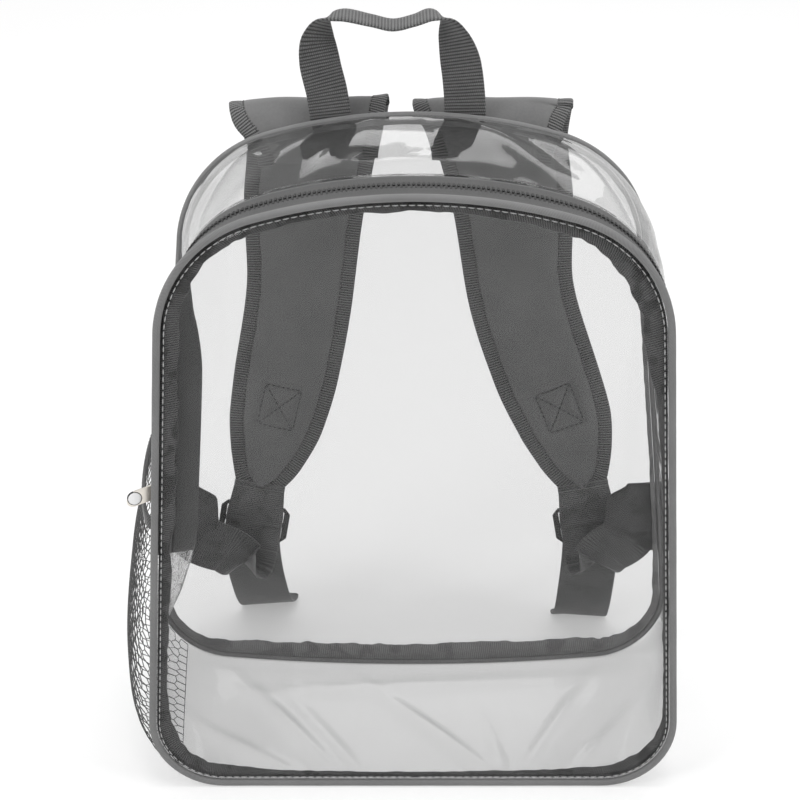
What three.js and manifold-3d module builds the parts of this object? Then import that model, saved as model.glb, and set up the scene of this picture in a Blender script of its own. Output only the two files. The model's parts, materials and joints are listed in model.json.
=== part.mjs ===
// A clear backpack standing on the floor: two arched panels of clear sheet joined by a clear
// gusset, piped seams, a zip over the arch, a net side pocket, a grab handle and two padded straps.
// Millimetres. X runs to the right as seen from the front, Y to the back, Z up.
// The origin is on the floor, in the middle of the bag's underside.
import * as THREE from 'three';
import Module from 'manifold-3d';
import { mergeVertices } from 'three/addons/utils/BufferGeometryUtils.js';

// Bag body
const BAG_WIDTH = 322;
const BAG_HEIGHT = 381;
const BAG_DEPTH = 150;
const SIDE_LEAN = 22;
const TOP_RADIUS = 320;
const SHOULDER_RADIUS = 75;
const BASE_RADIUS = 42;
const PIPING_RADIUS = 2.25;
const SHEET_THICKNESS = 1.2;
const PANEL_BULGE = 3;
const TOP_BULGE = 7;
const SIDE_BULGE = 1.5;
const GAP = 0.3;

// The rear seam of the slack bag, against a plain box of the same outline
const REAR_SHIFT = 0;
const REAR_FLARE = 12;
const REAR_BOW_IN = 10;
const REAR_BOW_OUT = 18;

// Seam tape inside
const BINDING_WIDTH = 10;
const BINDING_THICKNESS = 1;

// Zip
const ZIP_END_HEIGHT = 160;
const ZIP_TAPE_WIDTH = 8;
const ZIP_TAPE_THICKNESS = 1;
const ZIP_COIL_WIDTH = 5.4;
const ZIP_COIL_THICKNESS = 2.4;
const ZIP_CURL = 8;
const COIL_BELOW_SLIDER = 17;
const SLIDER_ABOVE_POCKET = 23;
const SLIDER_LENGTH = 11;
const SLIDER_WIDTH = 8.6;
const SLIDER_PLATE = 1.6;
const BRIDGE_SPAN = 7.6;
const BRIDGE_WIDTH = 2;
const BRIDGE_BAR = 1.4;
const PULL_LENGTH = 27;
const PULL_WEB = 1.4;
const PULL_WIDTH = 10;
const PULL_THICKNESS = 1.2;
const PULL_DROOP = THREE.MathUtils.degToRad(18);

// Net pocket on the left side
const POCKET_TOP_HEIGHT = 178;
const POCKET_BOTTOM_TURN = 0.62;
const POCKET_BULGE = 17;
const NET_THICKNESS = 1.2;
const NET_COLUMNS = 7;
const NET_ROWS = 11;
const NET_OPEN_SHARE = 0.72;
const HEM_HEIGHT = 8;
const HEM_THICKNESS = 2;

// The closed zip ends above the pocket
const SLIDER_HEIGHT = POCKET_TOP_HEIGHT + SLIDER_ABOVE_POCKET;
const COIL_END_HEIGHT = SLIDER_HEIGHT - COIL_BELOW_SLIDER;

// Grab handle
const HANDLE_WEBBING = 25;
const HANDLE_THICKNESS = 1.8;
const HANDLE_SPACING = 83;
const HANDLE_SHIFT = -8;
const HANDLE_RISE = 60;
const HANDLE_SEWN = 8;

// Shoulder straps
const PAD_WIDTH = 80;
const PAD_THICKNESS = 10;
const PAD_EDGE = 2.6;
const PAD_ROOM = 46;
const STRAP_TAPE_WIDTH = 9;
const WEBBING_WIDTH = 38;
const WEBBING_THICKNESS = 1.6;
const TAIL_HEM_LAYERS = 2;
const LOOP_WIDTH = 34;
const LOOP_FREE = 9;
const LOOP_SEWN = 8;
const PAD_END_GAP = 1;
const LOCK_BAR = 2.6;
const LOCK_RIM = 4;
const LOCK_CLEAR = 3.5;
const LOWER_DROP = 46;
const LOWER_TILT = THREE.MathUtils.degToRad(35);
const TAB_HEIGHT = 52;
const TAB_LENGTH = 36;
const TAB_THICKNESS = 2;
const TAB_UP = 104;

const HALF_WIDTH = BAG_WIDTH / 2;
const HALF_SHEET = SHEET_THICKNESS / 2;
const SEAM_EDGE = PIPING_RADIUS + GAP;
const SIDE_TILT = Math.atan2(SIDE_LEAN, BAG_HEIGHT);

const wasm = await Module();
wasm.setup();

const lerp = THREE.MathUtils.lerp;
const clamp = THREE.MathUtils.clamp;
const point = (x, y, z) => new THREE.Vector3(x, y, z);

/** The value of a named column at a place between the rows of a table, by a smooth curve. */
function between(rows, key, place, value) {
  const slope = (index) => {
    const rise = rows[index + 1][value] - rows[index][value];
    return rise / (rows[index + 1][key] - rows[index][key]);
  };
  const tangent = (index) => {
    if (index === 0 || index === rows.length - 1) {
      return 0;
    }
    const before = slope(index - 1);
    const after = slope(index);
    return before * after > 0 ? (2 * before * after) / (before + after) : 0;
  };
  let index = 0;
  while (index < rows.length - 2 && place > rows[index + 1][key]) {
    index += 1;
  }
  const span = rows[index + 1][key] - rows[index][key];
  const t = clamp((place - rows[index][key]) / span, 0, 1);
  const start = (1 + 2 * t) * (1 - t) * (1 - t) * rows[index][value];
  const end = t * t * (3 - 2 * t) * rows[index + 1][value];
  const leaving = t * (1 - t) * (1 - t) * span * tangent(index);
  const arriving = t * t * (t - 1) * span * tangent(index + 1);
  return start + end + leaving + arriving;
}

/** A closed body through a row of rings with equally many points; the ends are closed by a ladder. */
function shell(rings, loop = false) {
  const size = rings[0].length;
  const positions = [];
  for (const ring of rings) {
    for (const corner of ring) {
      positions.push(corner.x, corner.y, corner.z);
    }
  }
  const faces = [];
  const steps = loop ? rings.length : rings.length - 1;
  for (let k = 0; k < steps; k += 1) {
    const here = k * size;
    const next = ((k + 1) % rings.length) * size;
    for (let i = 0; i < size; i += 1) {
      const j = (i + 1) % size;
      faces.push([here + i, here + j, next + j], [here + i, next + j, next + i]);
    }
  }
  if (!loop) {
    const last = (rings.length - 1) * size;
    for (let i = 0; i < size / 2 - 1; i += 1) {
      const a = size - 1 - i;
      const b = size - 2 - i;
      faces.push([i + 1, i, a], [i + 1, a, b]);
      faces.push([last + i, last + i + 1, last + b], [last + i, last + b, last + a]);
    }
  }
  return facedOut(positions, faces);
}

/** A geometry from points and faces, with every face turned to look out of the body. */
function facedOut(positions, faces) {
  const corner = (index) => point(positions[3 * index], positions[3 * index + 1], positions[3 * index + 2]);
  let volume = 0;
  for (const [a, b, c] of faces) {
    volume += corner(a).dot(corner(b).cross(corner(c)));
  }
  const index = [];
  for (const [a, b, c] of faces) {
    index.push(a, volume > 0 ? b : c, volume > 0 ? c : b);
  }
  const geometry = new THREE.BufferGeometry();
  geometry.setAttribute('position', new THREE.Float32BufferAttribute(positions, 3));
  geometry.setIndex(index);
  geometry.computeVertexNormals();
  return geometry;
}

// Seam outline, from the middle of the top round to the middle of the bottom

/** The arcs and lines of one half of the seam, each with its length and a point at a distance. */
function seamPieces() {
  const sideAngle = Math.PI / 2 - SIDE_TILT;
  const normal = new THREE.Vector2(Math.cos(SIDE_TILT), Math.sin(SIDE_TILT));
  const along = new THREE.Vector2(-Math.sin(SIDE_TILT), Math.cos(SIDE_TILT));
  const topCentre = new THREE.Vector2(0, BAG_HEIGHT - TOP_RADIUS);
  const start = new THREE.Vector2(HALF_WIDTH, 0).addScaledVector(normal, -SHOULDER_RADIUS).sub(topCentre);
  const half = start.dot(along);
  const inner = TOP_RADIUS - SHOULDER_RADIUS;
  const run = Math.sqrt(half * half - start.lengthSq() + inner * inner) - half;
  const shoulder = start.clone().addScaledVector(along, run).add(topCentre);
  const topAngle = Math.atan2(shoulder.x - topCentre.x, shoulder.y - topCentre.y);
  const baseX = HALF_WIDTH - (BASE_RADIUS * (1 + Math.sin(SIDE_TILT))) / Math.cos(SIDE_TILT);
  const base = new THREE.Vector2(baseX, BASE_RADIUS);
  const arc = (centre, radius, from, to) => ({
    length: radius * (to - from),
    at: (distance) => {
      const angle = from + distance / radius;
      const out = new THREE.Vector2(Math.sin(angle), Math.cos(angle));
      return { x: centre.x + radius * out.x, z: centre.y + radius * out.y, out };
    },
  });
  const line = (from, to, out) => ({
    length: from.distanceTo(to),
    at: (distance) => {
      const place = from.clone().lerp(to, distance / from.distanceTo(to));
      return { x: place.x, z: place.y, out };
    },
  });
  const sideTop = shoulder.clone().addScaledVector(normal, SHOULDER_RADIUS);
  const sideEnd = base.clone().addScaledVector(normal, BASE_RADIUS);
  const down = new THREE.Vector2(0, -1);
  return {
    top: arc(topCentre, TOP_RADIUS, 0, topAngle),
    shoulder: arc(shoulder, SHOULDER_RADIUS, topAngle, sideAngle),
    side: line(sideTop, sideEnd, normal),
    corner: arc(base, BASE_RADIUS, sideAngle, Math.PI),
    base: line(new THREE.Vector2(baseX, 0), new THREE.Vector2(0, 0), down),
  };
}

const SEAM = seamPieces();
const SIDE_START = SEAM.top.length + SEAM.shoulder.length;
const CORNER_START = SIDE_START + SEAM.side.length;
const BASE_START = CORNER_START + SEAM.corner.length;
const HALF_SEAM = BASE_START + SEAM.base.length;
const SIDE_TOP_HEIGHT = SEAM.side.at(0).z;

/** The distance along the seam, from the top's middle, at which the side has a height. */
function distanceAtHeight(height) {
  return SIDE_START + (SIDE_TOP_HEIGHT + PIPING_RADIUS - height) / Math.cos(SIDE_TILT);
}

/** A place on the seam: positive distances run down the right side, negative ones down the left. */
function seamAt(distance) {
  const side = distance < 0 ? -1 : 1;
  let rest = Math.abs(distance);
  const pieces = [SEAM.top, SEAM.shoulder, SEAM.side, SEAM.corner, SEAM.base];
  let piece = pieces[0];
  for (const candidate of pieces) {
    piece = candidate;
    if (rest <= candidate.length + 1e-6 || candidate === SEAM.base) {
      break;
    }
    rest -= candidate.length;
  }
  const { x, z, out } = piece.at(rest);
  const height = z / BAG_HEIGHT;
  const fall = Math.cos((Math.PI / 2) * clamp(height, 0, 1)) ** 2;
  const across = (side * x) / HALF_WIDTH;
  const front = point(side * x, -BAG_DEPTH / 2, z + PIPING_RADIUS);
  const rear = front.clone();
  rear.x += fall * (REAR_SHIFT + REAR_FLARE * across);
  rear.y = BAG_DEPTH / 2 + fall ** 3 * (REAR_BOW_OUT * across ** 2 - REAR_BOW_IN);
  return {
    side: side < 0 ? 'left' : 'right',
    share: Math.abs(distance) / HALF_SEAM,
    front,
    rear,
    out: point(side * out.x, 0, out.y),
    depth: front.distanceTo(rear),
    back: rear.clone().sub(front).normalize(),
  };
}

/** Distances of the sections from one place on the seam to another, both on one half. */
function sectionsFrom(start, end) {
  const steps = [
    [0, SEAM.top.length, 6],
    [SEAM.top.length, SIDE_START, 6],
    [SIDE_START, CORNER_START, 7],
    [CORNER_START, BASE_START, 6],
    [BASE_START, HALF_SEAM, 3],
  ];
  const places = [start];
  for (const [from, to, count] of steps) {
    for (let i = 0; i <= count; i += 1) {
      const place = lerp(from, to, i / count);
      if (place > places[places.length - 1] + 1 && place < end - 1) {
        places.push(place);
      }
    }
  }
  places.push(end);
  return places;
}

/** Sections of the whole seam, from the bottom's middle up the left side and down the right. */
function wholeSeam() {
  const half = sectionsFrom(0, HALF_SEAM);
  const left = half.slice(1).map((distance) => -distance).reverse();
  return [...left.slice(1), ...half];
}

// The gusset between the seams

// The zip strip's lean out of the seam in degrees, and its rear tape's width as a share of the
// front tape's, by the share of the way from the top's middle to the bottom's middle.
const ZIP_HANG = {
  left: [
    { share: 0, lean: 14, rear: 0.8 },
    { share: 0.11, lean: 14, rear: 0.8 },
    { share: 0.2, lean: 0, rear: 0.9 },
    { share: 0.27, lean: -48, rear: 1.3 },
    { share: 0.34, lean: -76, rear: 1.6 },
    { share: 0.5, lean: -74, rear: 1.5 },
    { share: 0.56, lean: -50, rear: 1.2 },
    { share: 0.66, lean: 0, rear: 1 },
    { share: 1, lean: 0, rear: 0.8 },
  ],
  right: [
    { share: 0, lean: 14, rear: 0.8 },
    { share: 0.11, lean: 14, rear: 0.8 },
    { share: 0.2, lean: 6, rear: 0.8 },
    { share: 0.3, lean: 1, rear: 0.8 },
    { share: 0.46, lean: 5, rear: 0.8 },
    { share: 0.66, lean: 2, rear: 0.8 },
    { share: 1, lean: 0, rear: 0.8 },
  ],
};

const COIL_FROM = SEAM_EDGE + ZIP_TAPE_WIDTH + GAP;
const COIL_TO = COIL_FROM + ZIP_COIL_WIDTH;

/** How far the zip strip reaches across the gusset from the front seam. */
function stripReach(seam) {
  const rear = between(ZIP_HANG[seam.side], 'share', seam.share, 'rear') * ZIP_TAPE_WIDTH;
  return COIL_TO + GAP + rear;
}

/** How far a section belongs to the flat underside, from 0 on the sides to 1 below. */
function underShare(seam) {
  return Math.max(0, -seam.out.z) ** 4;
}

const UNDER_SAG = PIPING_RADIUS - HALF_SHEET;
const SAG_EDGE = 5 * PIPING_RADIUS;

/** The gusset's section as depth and rise: places 0 to 1 cross the strip, 1 to 2 the clear wall. */
function sectionAt(seam, place) {
  const lean = THREE.MathUtils.degToRad(between(ZIP_HANG[seam.side], 'share', seam.share, 'lean'));
  const reach = stripReach(seam);
  const walk = clamp(place, 0, 1) * reach;
  const curved = Math.min(walk, ZIP_CURL);
  const straight = Math.max(walk - ZIP_CURL, 0);
  const turned = (lean * curved) / ZIP_CURL;
  const radius = Math.abs(lean) > 1e-4 ? ZIP_CURL / lean : 0;
  const depth = (radius ? radius * Math.sin(turned) : curved) + straight * Math.cos(lean);
  const rise = radius * (1 - Math.cos(turned)) + straight * Math.sin(lean);
  const under = underShare(seam);
  const over = Math.max(0, seam.out.z) ** 2;
  const share = clamp(place - 1, 0, 1);
  const wallDepth = lerp(depth, seam.depth, share);
  const hump = lerp(SIDE_BULGE, TOP_BULGE, over) * (1 - under) * Math.sin(Math.PI * share);
  const edge = clamp(Math.min(wallDepth, seam.depth - wallDepth) / SAG_EDGE, 0, 1);
  return { depth: wallDepth, rise: lerp(rise, 0, share) + hump + under * UNDER_SAG * edge };
}

/** A point of the gusset, offset from the middle of its thickness. */
function gussetPoint(seam, place, offset) {
  const step = 0.004;
  const onStrip = place <= 1;
  const low = onStrip ? Math.max(0, place - step) : Math.max(1 + 1e-6, place - step);
  const high = onStrip ? Math.min(1, place + step) : Math.min(2, place + step);
  const from = sectionAt(seam, low);
  const to = sectionAt(seam, high);
  const run = new THREE.Vector2(to.depth - from.depth, to.rise - from.rise).normalize();
  const here = sectionAt(seam, place);
  return seam.front.clone()
    .addScaledVector(seam.back, here.depth - run.y * offset)
    .addScaledVector(seam.out, here.rise + run.x * offset);
}

/** The place on the clear wall at a distance from its start, or before its end. */
function wallPlace(seam, distance, fromEnd = false) {
  const start = sectionAt(seam, 1);
  const length = Math.hypot(seam.depth - start.depth, start.rise);
  return fromEnd ? 2 - distance / length : 1 + distance / length;
}

/** A band of the gusset through sections of the seam, between places across it. */
function gussetBand(distances, places, thickness) {
  const rings = distances.map((distance) => {
    const seam = seamAt(distance);
    const across = places(seam);
    const outside = across.map((place) => gussetPoint(seam, place, thickness / 2));
    const inside = across.map((place) => gussetPoint(seam, place, -thickness / 2));
    return [...outside, ...inside.reverse()];
  });
  return shell(rings);
}

const ZIP_END = distanceAtHeight(ZIP_END_HEIGHT);
const COIL_END = distanceAtHeight(COIL_END_HEIGHT);

/** Sections over the arch between the same distance on both sides. */
function archSections(end) {
  const half = sectionsFrom(0, end);
  const left = half.slice(1).map((distance) => -distance).reverse();
  return [...left, ...half];
}

function topGusset() {
  const start = HALF_SHEET + GAP;
  const places = (seam) => [
    wallPlace(seam, start),
    1.12,
    1.3,
    1.55,
    1.8,
    wallPlace(seam, SEAM_EDGE, true),
  ];
  return gussetBand(archSections(ZIP_END - GAP), places, SHEET_THICKNESS);
}

function baseGusset() {
  const places = (seam) => {
    const reach = stripReach(seam);
    return [
      SEAM_EDGE / reach,
      ZIP_CURL / reach,
      SAG_EDGE / reach,
      1,
      1.3,
      1.7,
      wallPlace(seam, SAG_EDGE, true),
      wallPlace(seam, SEAM_EDGE, true),
    ];
  };
  const right = sectionsFrom(ZIP_END, HALF_SEAM);
  const left = right.slice(0, -1).map((distance) => -distance).reverse();
  return gussetBand([...right, ...left], places, SHEET_THICKNESS);
}

function zipTapeFront() {
  const places = (seam) => {
    const reach = stripReach(seam);
    return [SEAM_EDGE / reach, (SEAM_EDGE + ZIP_TAPE_WIDTH / 2) / reach, (COIL_FROM - GAP) / reach];
  };
  return gussetBand(archSections(ZIP_END - GAP), places, ZIP_TAPE_THICKNESS);
}

function zipTapeRear() {
  const places = (seam) => [(COIL_TO + GAP) / stripReach(seam), 1];
  return gussetBand(archSections(ZIP_END - GAP), places, ZIP_TAPE_THICKNESS);
}

function zipCoil() {
  const places = (seam) => [COIL_FROM / stripReach(seam), COIL_TO / stripReach(seam)];
  return gussetBand(archSections(COIL_END), places, ZIP_COIL_THICKNESS);
}

// Panels, piping and seam tape

const PANEL_CENTRE = point(0, 0, BAG_HEIGHT * 0.46);
const PANEL_RINGS = [1, 0.78, 0.42];

const FACING = { front: -1, rear: 1 };

/** A point of a panel's middle, on the ring that is its edge drawn in to a share of its size. */
function panelPoint(seamName, seam, share) {
  const facing = FACING[seamName];
  const edge = seam[seamName].clone().addScaledVector(seam.out, -SEAM_EDGE);
  const place = edge.clone().sub(PANEL_CENTRE).multiplyScalar(share).add(PANEL_CENTRE);
  const flat = lerp((facing * BAG_DEPTH) / 2, edge.y, share * share);
  place.y = flat + facing * PANEL_BULGE * (1 - share * share);
  return place;
}

/** A clear panel that fills a seam and bulges a little outwards. */
function panel(seamName) {
  const facing = FACING[seamName];
  const seams = wholeSeam().map(seamAt);
  const ring = (share, offset) => seams.map((seam) => {
    return panelPoint(seamName, seam, share).add(point(0, offset, 0));
  });
  const outer = PANEL_RINGS.map((share) => ring(share, facing * HALF_SHEET));
  const inner = PANEL_RINGS.map((share) => ring(share, -facing * HALF_SHEET));
  return shell([...outer.reverse(), ...inner]);
}

/** Piping: a round cord that follows a seam all the way round. */
function piping(seamOf) {
  const sides = 6;
  const rings = wholeSeam().map((distance) => {
    const seam = seamAt(distance);
    const ring = [];
    for (let i = 0; i < sides; i += 1) {
      const angle = (2 * Math.PI * i) / sides;
      ring.push(seamOf(seam).clone()
        .addScaledVector(seam.out, PIPING_RADIUS * Math.cos(angle))
        .add(point(0, PIPING_RADIUS * Math.sin(angle), 0)));
    }
    return ring;
  });
  return shell(rings, true);
}

// Width of the seam tape inside, as a share of its full width, round the front and the rear seam.
const BINDING_SHOWN = {
  front: {
    left: [
      { share: 0, width: 0.6 },
      { share: 0.14, width: 0.6 },
      { share: 0.25, width: 0.9 },
      { share: 0.4, width: 1 },
      { share: 0.55, width: 0.7 },
      { share: 0.8, width: 0.5 },
      { share: 1, width: 0.4 },
    ],
    right: [
      { share: 0, width: 0.6 },
      { share: 0.15, width: 0.8 },
      { share: 0.22, width: 1.3 },
      { share: 0.3, width: 1.25 },
      { share: 0.36, width: 0.6 },
      { share: 0.46, width: 0.32 },
      { share: 0.8, width: 0.3 },
      { share: 1, width: 0.4 },
    ],
  },
  rear: {
    left: [
      { share: 0, width: 0.3 },
      { share: 0.6, width: 0.3 },
      { share: 0.74, width: 0.5 },
      { share: 0.84, width: 1 },
      { share: 1, width: 1.05 },
    ],
    right: [
      { share: 0, width: 0.3 },
      { share: 0.6, width: 0.28 },
      { share: 0.74, width: 0.6 },
      { share: 0.84, width: 1.1 },
      { share: 1, width: 1.05 },
    ],
  },
};

/** The tape over the seam allowance, flat behind its panel. */
function binding(seamName) {
  const inwards = -FACING[seamName];
  const near = HALF_SHEET + 2 * GAP;
  const rings = wholeSeam().map((distance) => {
    const seam = seamAt(distance);
    const rows = BINDING_SHOWN[seamName][seam.side];
    const width = BINDING_WIDTH * between(rows, 'share', seam.share, 'width');
    const edge = panelPoint(seamName, seam, 1);
    const within = panelPoint(seamName, seam, PANEL_RINGS[1]);
    const slope = (within.y - edge.y) / edge.clone().sub(within).dot(seam.out);
    const corner = (inset, depth) => seam[seamName].clone()
      .addScaledVector(seam.out, -inset)
      .add(point(0, slope * (inset - SEAM_EDGE) + inwards * depth, 0));
    return [
      corner(SEAM_EDGE, near),
      corner(SEAM_EDGE, near + BINDING_THICKNESS),
      corner(SEAM_EDGE + width, near + BINDING_THICKNESS),
      corner(SEAM_EDGE + width, near),
    ];
  });
  return shell(rings, true);
}

// Net pocket

const POCKET_TOP = distanceAtHeight(POCKET_TOP_HEIGHT);
const POCKET_BOTTOM = CORNER_START + POCKET_BOTTOM_TURN * SEAM.corner.length;

// The pocket's outward swell as a share of its bulge, by the share of the way up from its bottom.
const POCKET_SWELL = [
  { up: 0, swell: 0.04 },
  { up: 0.09, swell: 0.5 },
  { up: 0.22, swell: 0.88 },
  { up: 0.42, swell: 1 },
  { up: 0.75, swell: 0.84 },
  { up: 1.06, swell: 0.5 },
];

/** A point of the pocket: across 0 to 1 from the front to the rear seam, up 0 to 1 over the net. */
function pocketPoint(across, up, offset) {
  const distance = lerp(POCKET_BOTTOM, POCKET_TOP, up);
  const seam = seamAt(-distance);
  const clear = HALF_SHEET + GAP + HEM_THICKNESS / 2;
  const swell = between(POCKET_SWELL, 'up', up, 'swell') * POCKET_BULGE;
  const depth = lerp(SEAM_EDGE, seam.depth - SEAM_EDGE, across);
  const round = Math.sin(Math.PI * clamp(across, 0, 1)) ** 0.8;
  const rise = clear + underShare(seam) * UNDER_SAG + swell * round;
  return seam.front.clone()
    .addScaledVector(seam.back, depth)
    .addScaledVector(seam.out, rise + offset);
}

/** The net: six-sided holes in staggered rows, cut through a thin sheet. */
function netPocket() {
  const positions = [];
  const faces = [];
  const stops = 2 * NET_COLUMNS;
  const zigzag = 1 / (6 * NET_ROWS);
  const cornerAt = (k, j) => {
    const shifted = j > 0 && j < NET_ROWS && k > 0 && k < stops;
    const turn = (k + j) % 2 === 0 ? 1 : -1;
    return [k / stops, j / NET_ROWS + (shifted ? turn * zigzag : 0)];
  };
  const add = (across, up, offset) => {
    const place = pocketPoint(across, up, offset);
    positions.push(place.x, place.y, place.z);
    return positions.length / 3 - 1;
  };
  const shared = new Map();
  const sharedAt = (k, j, offset) => {
    const key = `${k},${j},${offset}`;
    if (!shared.has(key)) {
      shared.set(key, add(...cornerAt(k, j), offset));
    }
    return shared.get(key);
  };
  const half = NET_THICKNESS / 2;
  const cells = [];
  for (let j = 0; j < NET_ROWS; j += 1) {
    const offset = j % 2;
    if (offset) {
      cells.push({ open: false, corners: [[0, j], [1, j], [1, j + 1], [0, j + 1]] });
      cells.push({ open: false, corners: [[stops - 1, j], [stops, j], [stops, j + 1], [stops - 1, j + 1]] });
    }
    for (let k = offset; k + 2 <= stops; k += 2) {
      const below = [[k, j], [k + 1, j], [k + 2, j]];
      const above = [[k + 2, j + 1], [k + 1, j + 1], [k, j + 1]];
      cells.push({ open: true, corners: [...below, ...above] });
    }
  }
  const edges = new Map();
  for (const { open, corners } of cells) {
    const outer = corners.map(([k, j]) => sharedAt(k, j, half));
    const inner = corners.map(([k, j]) => sharedAt(k, j, -half));
    const count = corners.length;
    if (open) {
      const places = corners.map(([k, j]) => cornerAt(k, j));
      const middle = [0, 1].map((axis) => places.reduce((sum, place) => sum + place[axis], 0) / count);
      const hole = (offset) => places.map((place) => add(
        lerp(middle[0], place[0], NET_OPEN_SHARE),
        lerp(middle[1], place[1], NET_OPEN_SHARE),
        offset,
      ));
      const outerHole = hole(half);
      const innerHole = hole(-half);
      for (let i = 0; i < count; i += 1) {
        const n = (i + 1) % count;
        faces.push([outer[i], outer[n], outerHole[n]], [outer[i], outerHole[n], outerHole[i]]);
        faces.push([inner[n], inner[i], innerHole[i]], [inner[n], innerHole[i], innerHole[n]]);
        faces.push([outerHole[i], outerHole[n], innerHole[n]], [outerHole[i], innerHole[n], innerHole[i]]);
      }
    } else {
      faces.push([outer[0], outer[1], outer[2]], [outer[0], outer[2], outer[3]]);
      faces.push([inner[1], inner[0], inner[3]], [inner[1], inner[3], inner[2]]);
    }
    for (let i = 0; i < count; i += 1) {
      const n = (i + 1) % count;
      const key = [outer[i], outer[n]].sort((a, b) => a - b).join();
      if (edges.has(key)) {
        edges.delete(key);
      } else {
        edges.set(key, [outer[i], outer[n], inner[n], inner[i]]);
      }
    }
  }
  for (const [a, b, c, d] of edges.values()) {
    faces.push([b, a, d], [b, d, c]);
  }
  return facedOut(positions, faces);
}

/** The elastic hem along the pocket's top edge. */
function pocketHem() {
  const steps = 12;
  const length = POCKET_BOTTOM - POCKET_TOP;
  const low = 1 + GAP / length;
  const high = low + HEM_HEIGHT / length;
  const half = HEM_THICKNESS / 2;
  const rings = [];
  for (let i = 0; i <= steps; i += 1) {
    const across = i / steps;
    rings.push([
      pocketPoint(across, low, half),
      pocketPoint(across, high, half),
      pocketPoint(across, high, -half),
      pocketPoint(across, low, -half),
    ]);
  }
  return shell(rings);
}

// Webbing

/** A flat band along a curve; each station gives its centre, its width direction and its width. */
function ribbon(stations, thickness) {
  const rings = stations.map((station, index) => {
    const before = stations[Math.max(index - 1, 0)].centre;
    const after = stations[Math.min(index + 1, stations.length - 1)].centre;
    const along = after.clone().sub(before).normalize();
    const wide = station.wide.clone().addScaledVector(along, -station.wide.dot(along)).normalize();
    const normal = along.clone().cross(wide).normalize();
    const corner = (across, out) => station.centre.clone()
      .addScaledVector(wide, (across * station.width) / 2)
      .addScaledVector(normal, (out * thickness * (station.thick ?? 1)) / 2);
    return [corner(1, 1), corner(-1, 1), corner(-1, -1), corner(1, -1)];
  });
  return shell(rings);
}

/** Stations along a smooth curve through rows of centre, width direction and width. */
function smoothStations(rows, count) {
  const path = new THREE.CatmullRomCurve3(rows.map((row) => row.centre), false, 'centripetal');
  const stations = [];
  for (let i = 0; i <= count; i += 1) {
    const place = (i / count) * (rows.length - 1);
    const index = Math.min(Math.floor(place), rows.length - 2);
    const share = place - index;
    stations.push({
      centre: path.getPoint(i / count),
      wide: rows[index].wide.clone().lerp(rows[index + 1].wide, share),
      width: lerp(rows[index].width, rows[index + 1].width, share),
    });
  }
  return stations;
}

// The grab handle's halves from the sewn end to the middle: left and right are the way out as shares
// of half the spacing, up is a share of the rise, back a share of the webbing's width, and turn says
// how far the webbing has turned flat.
const HANDLE_ROWS = [
  { left: 1, right: 0.96, up: 0, back: 0, turn: 0 },
  { left: 1.06, right: 0.94, up: 0.3, back: 0, turn: 0.05 },
  { left: 1.16, right: 0.88, up: 0.58, back: 0.02, turn: 0.15 },
  { left: 1.18, right: 0.78, up: 0.8, back: 0.05, turn: 0.42 },
  { left: 1.06, right: 0.64, up: 0.96, back: 0.1, turn: 0.72 },
  { left: 0.84, right: 0.46, up: 1, back: 0.1, turn: 0.9 },
  { left: 0.42, right: 0.2, up: 0.95, back: 0.1, turn: 1 },
  { left: 0.1, right: -0.1, up: 0.91, back: 0.1, turn: 1 },
];

/** The grab handle: webbing upright at its sewn ends and turned flat over the top. */
function grabHandle() {
  const behind = BAG_DEPTH / 2 + SEAM_EDGE + HANDLE_THICKNESS / 2;
  const foot = BAG_HEIGHT + PIPING_RADIUS - HANDLE_SEWN;
  const rowsOf = (side, sign) => HANDLE_ROWS.map((row) => {
    const angle = (row.turn * Math.PI) / 2;
    return {
      centre: point(
        HANDLE_SHIFT + (sign * row[side] * HANDLE_SPACING) / 2,
        behind + row.back * HANDLE_WEBBING,
        foot + row.up * (HANDLE_RISE + HANDLE_SEWN),
      ),
      wide: point(-sign * Math.cos(angle), Math.sin(angle), 0),
      width: HANDLE_WEBBING,
    };
  });
  const left = rowsOf('left', -1);
  const right = rowsOf('right', 1).slice(0, -1).reverse();
  return ribbon(smoothStations([...left, ...right], 34), HANDLE_THICKNESS);
}

// Shoulder straps. Back is a share of the room behind the bag, up of the bag's height, left and
// right are the centre lines as shares of half the bag's width, width is a share of the pad's width
// and thick of its thickness.
const PAD_ROWS = [
  { back: 0.075, up: 0.918, left: -0.36, right: 0.3, width: 0.92, thick: 0.3 },
  { back: 0.2, up: 0.968, left: -0.37, right: 0.305, width: 1.06, thick: 0.5 },
  { back: 0.5, up: 1, left: -0.395, right: 0.305, width: 1.24, thick: 0.7 },
  { back: 0.82, up: 0.975, left: -0.395, right: 0.325, width: 1.2, thick: 0.8 },
  { back: 0.97, up: 0.9, left: -0.4, right: 0.36, width: 1.02, thick: 0.95 },
  { back: 1, up: 0.81, left: -0.43, right: 0.4, width: 0.97, thick: 1 },
  { back: 0.96, up: 0.65, left: -0.455, right: 0.44, width: 0.87, thick: 1 },
  { back: 0.86, up: 0.515, left: -0.51, right: 0.54, width: 0.86, thick: 1 },
  { back: 0.74, up: 0.42, left: -0.56, right: 0.63, width: 0.79, thick: 0.95 },
  { back: 0.66, up: 0.355, left: -0.6, right: 0.68, width: 0.63, thick: 0.85 },
  { back: 0.6, up: 0.31, left: -0.63, right: 0.71, width: 0.44, thick: 0.7 },
  { back: 0.57, up: 0.286, left: -0.64, right: 0.72, width: 0.3, thick: 0.6 },
];

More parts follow.
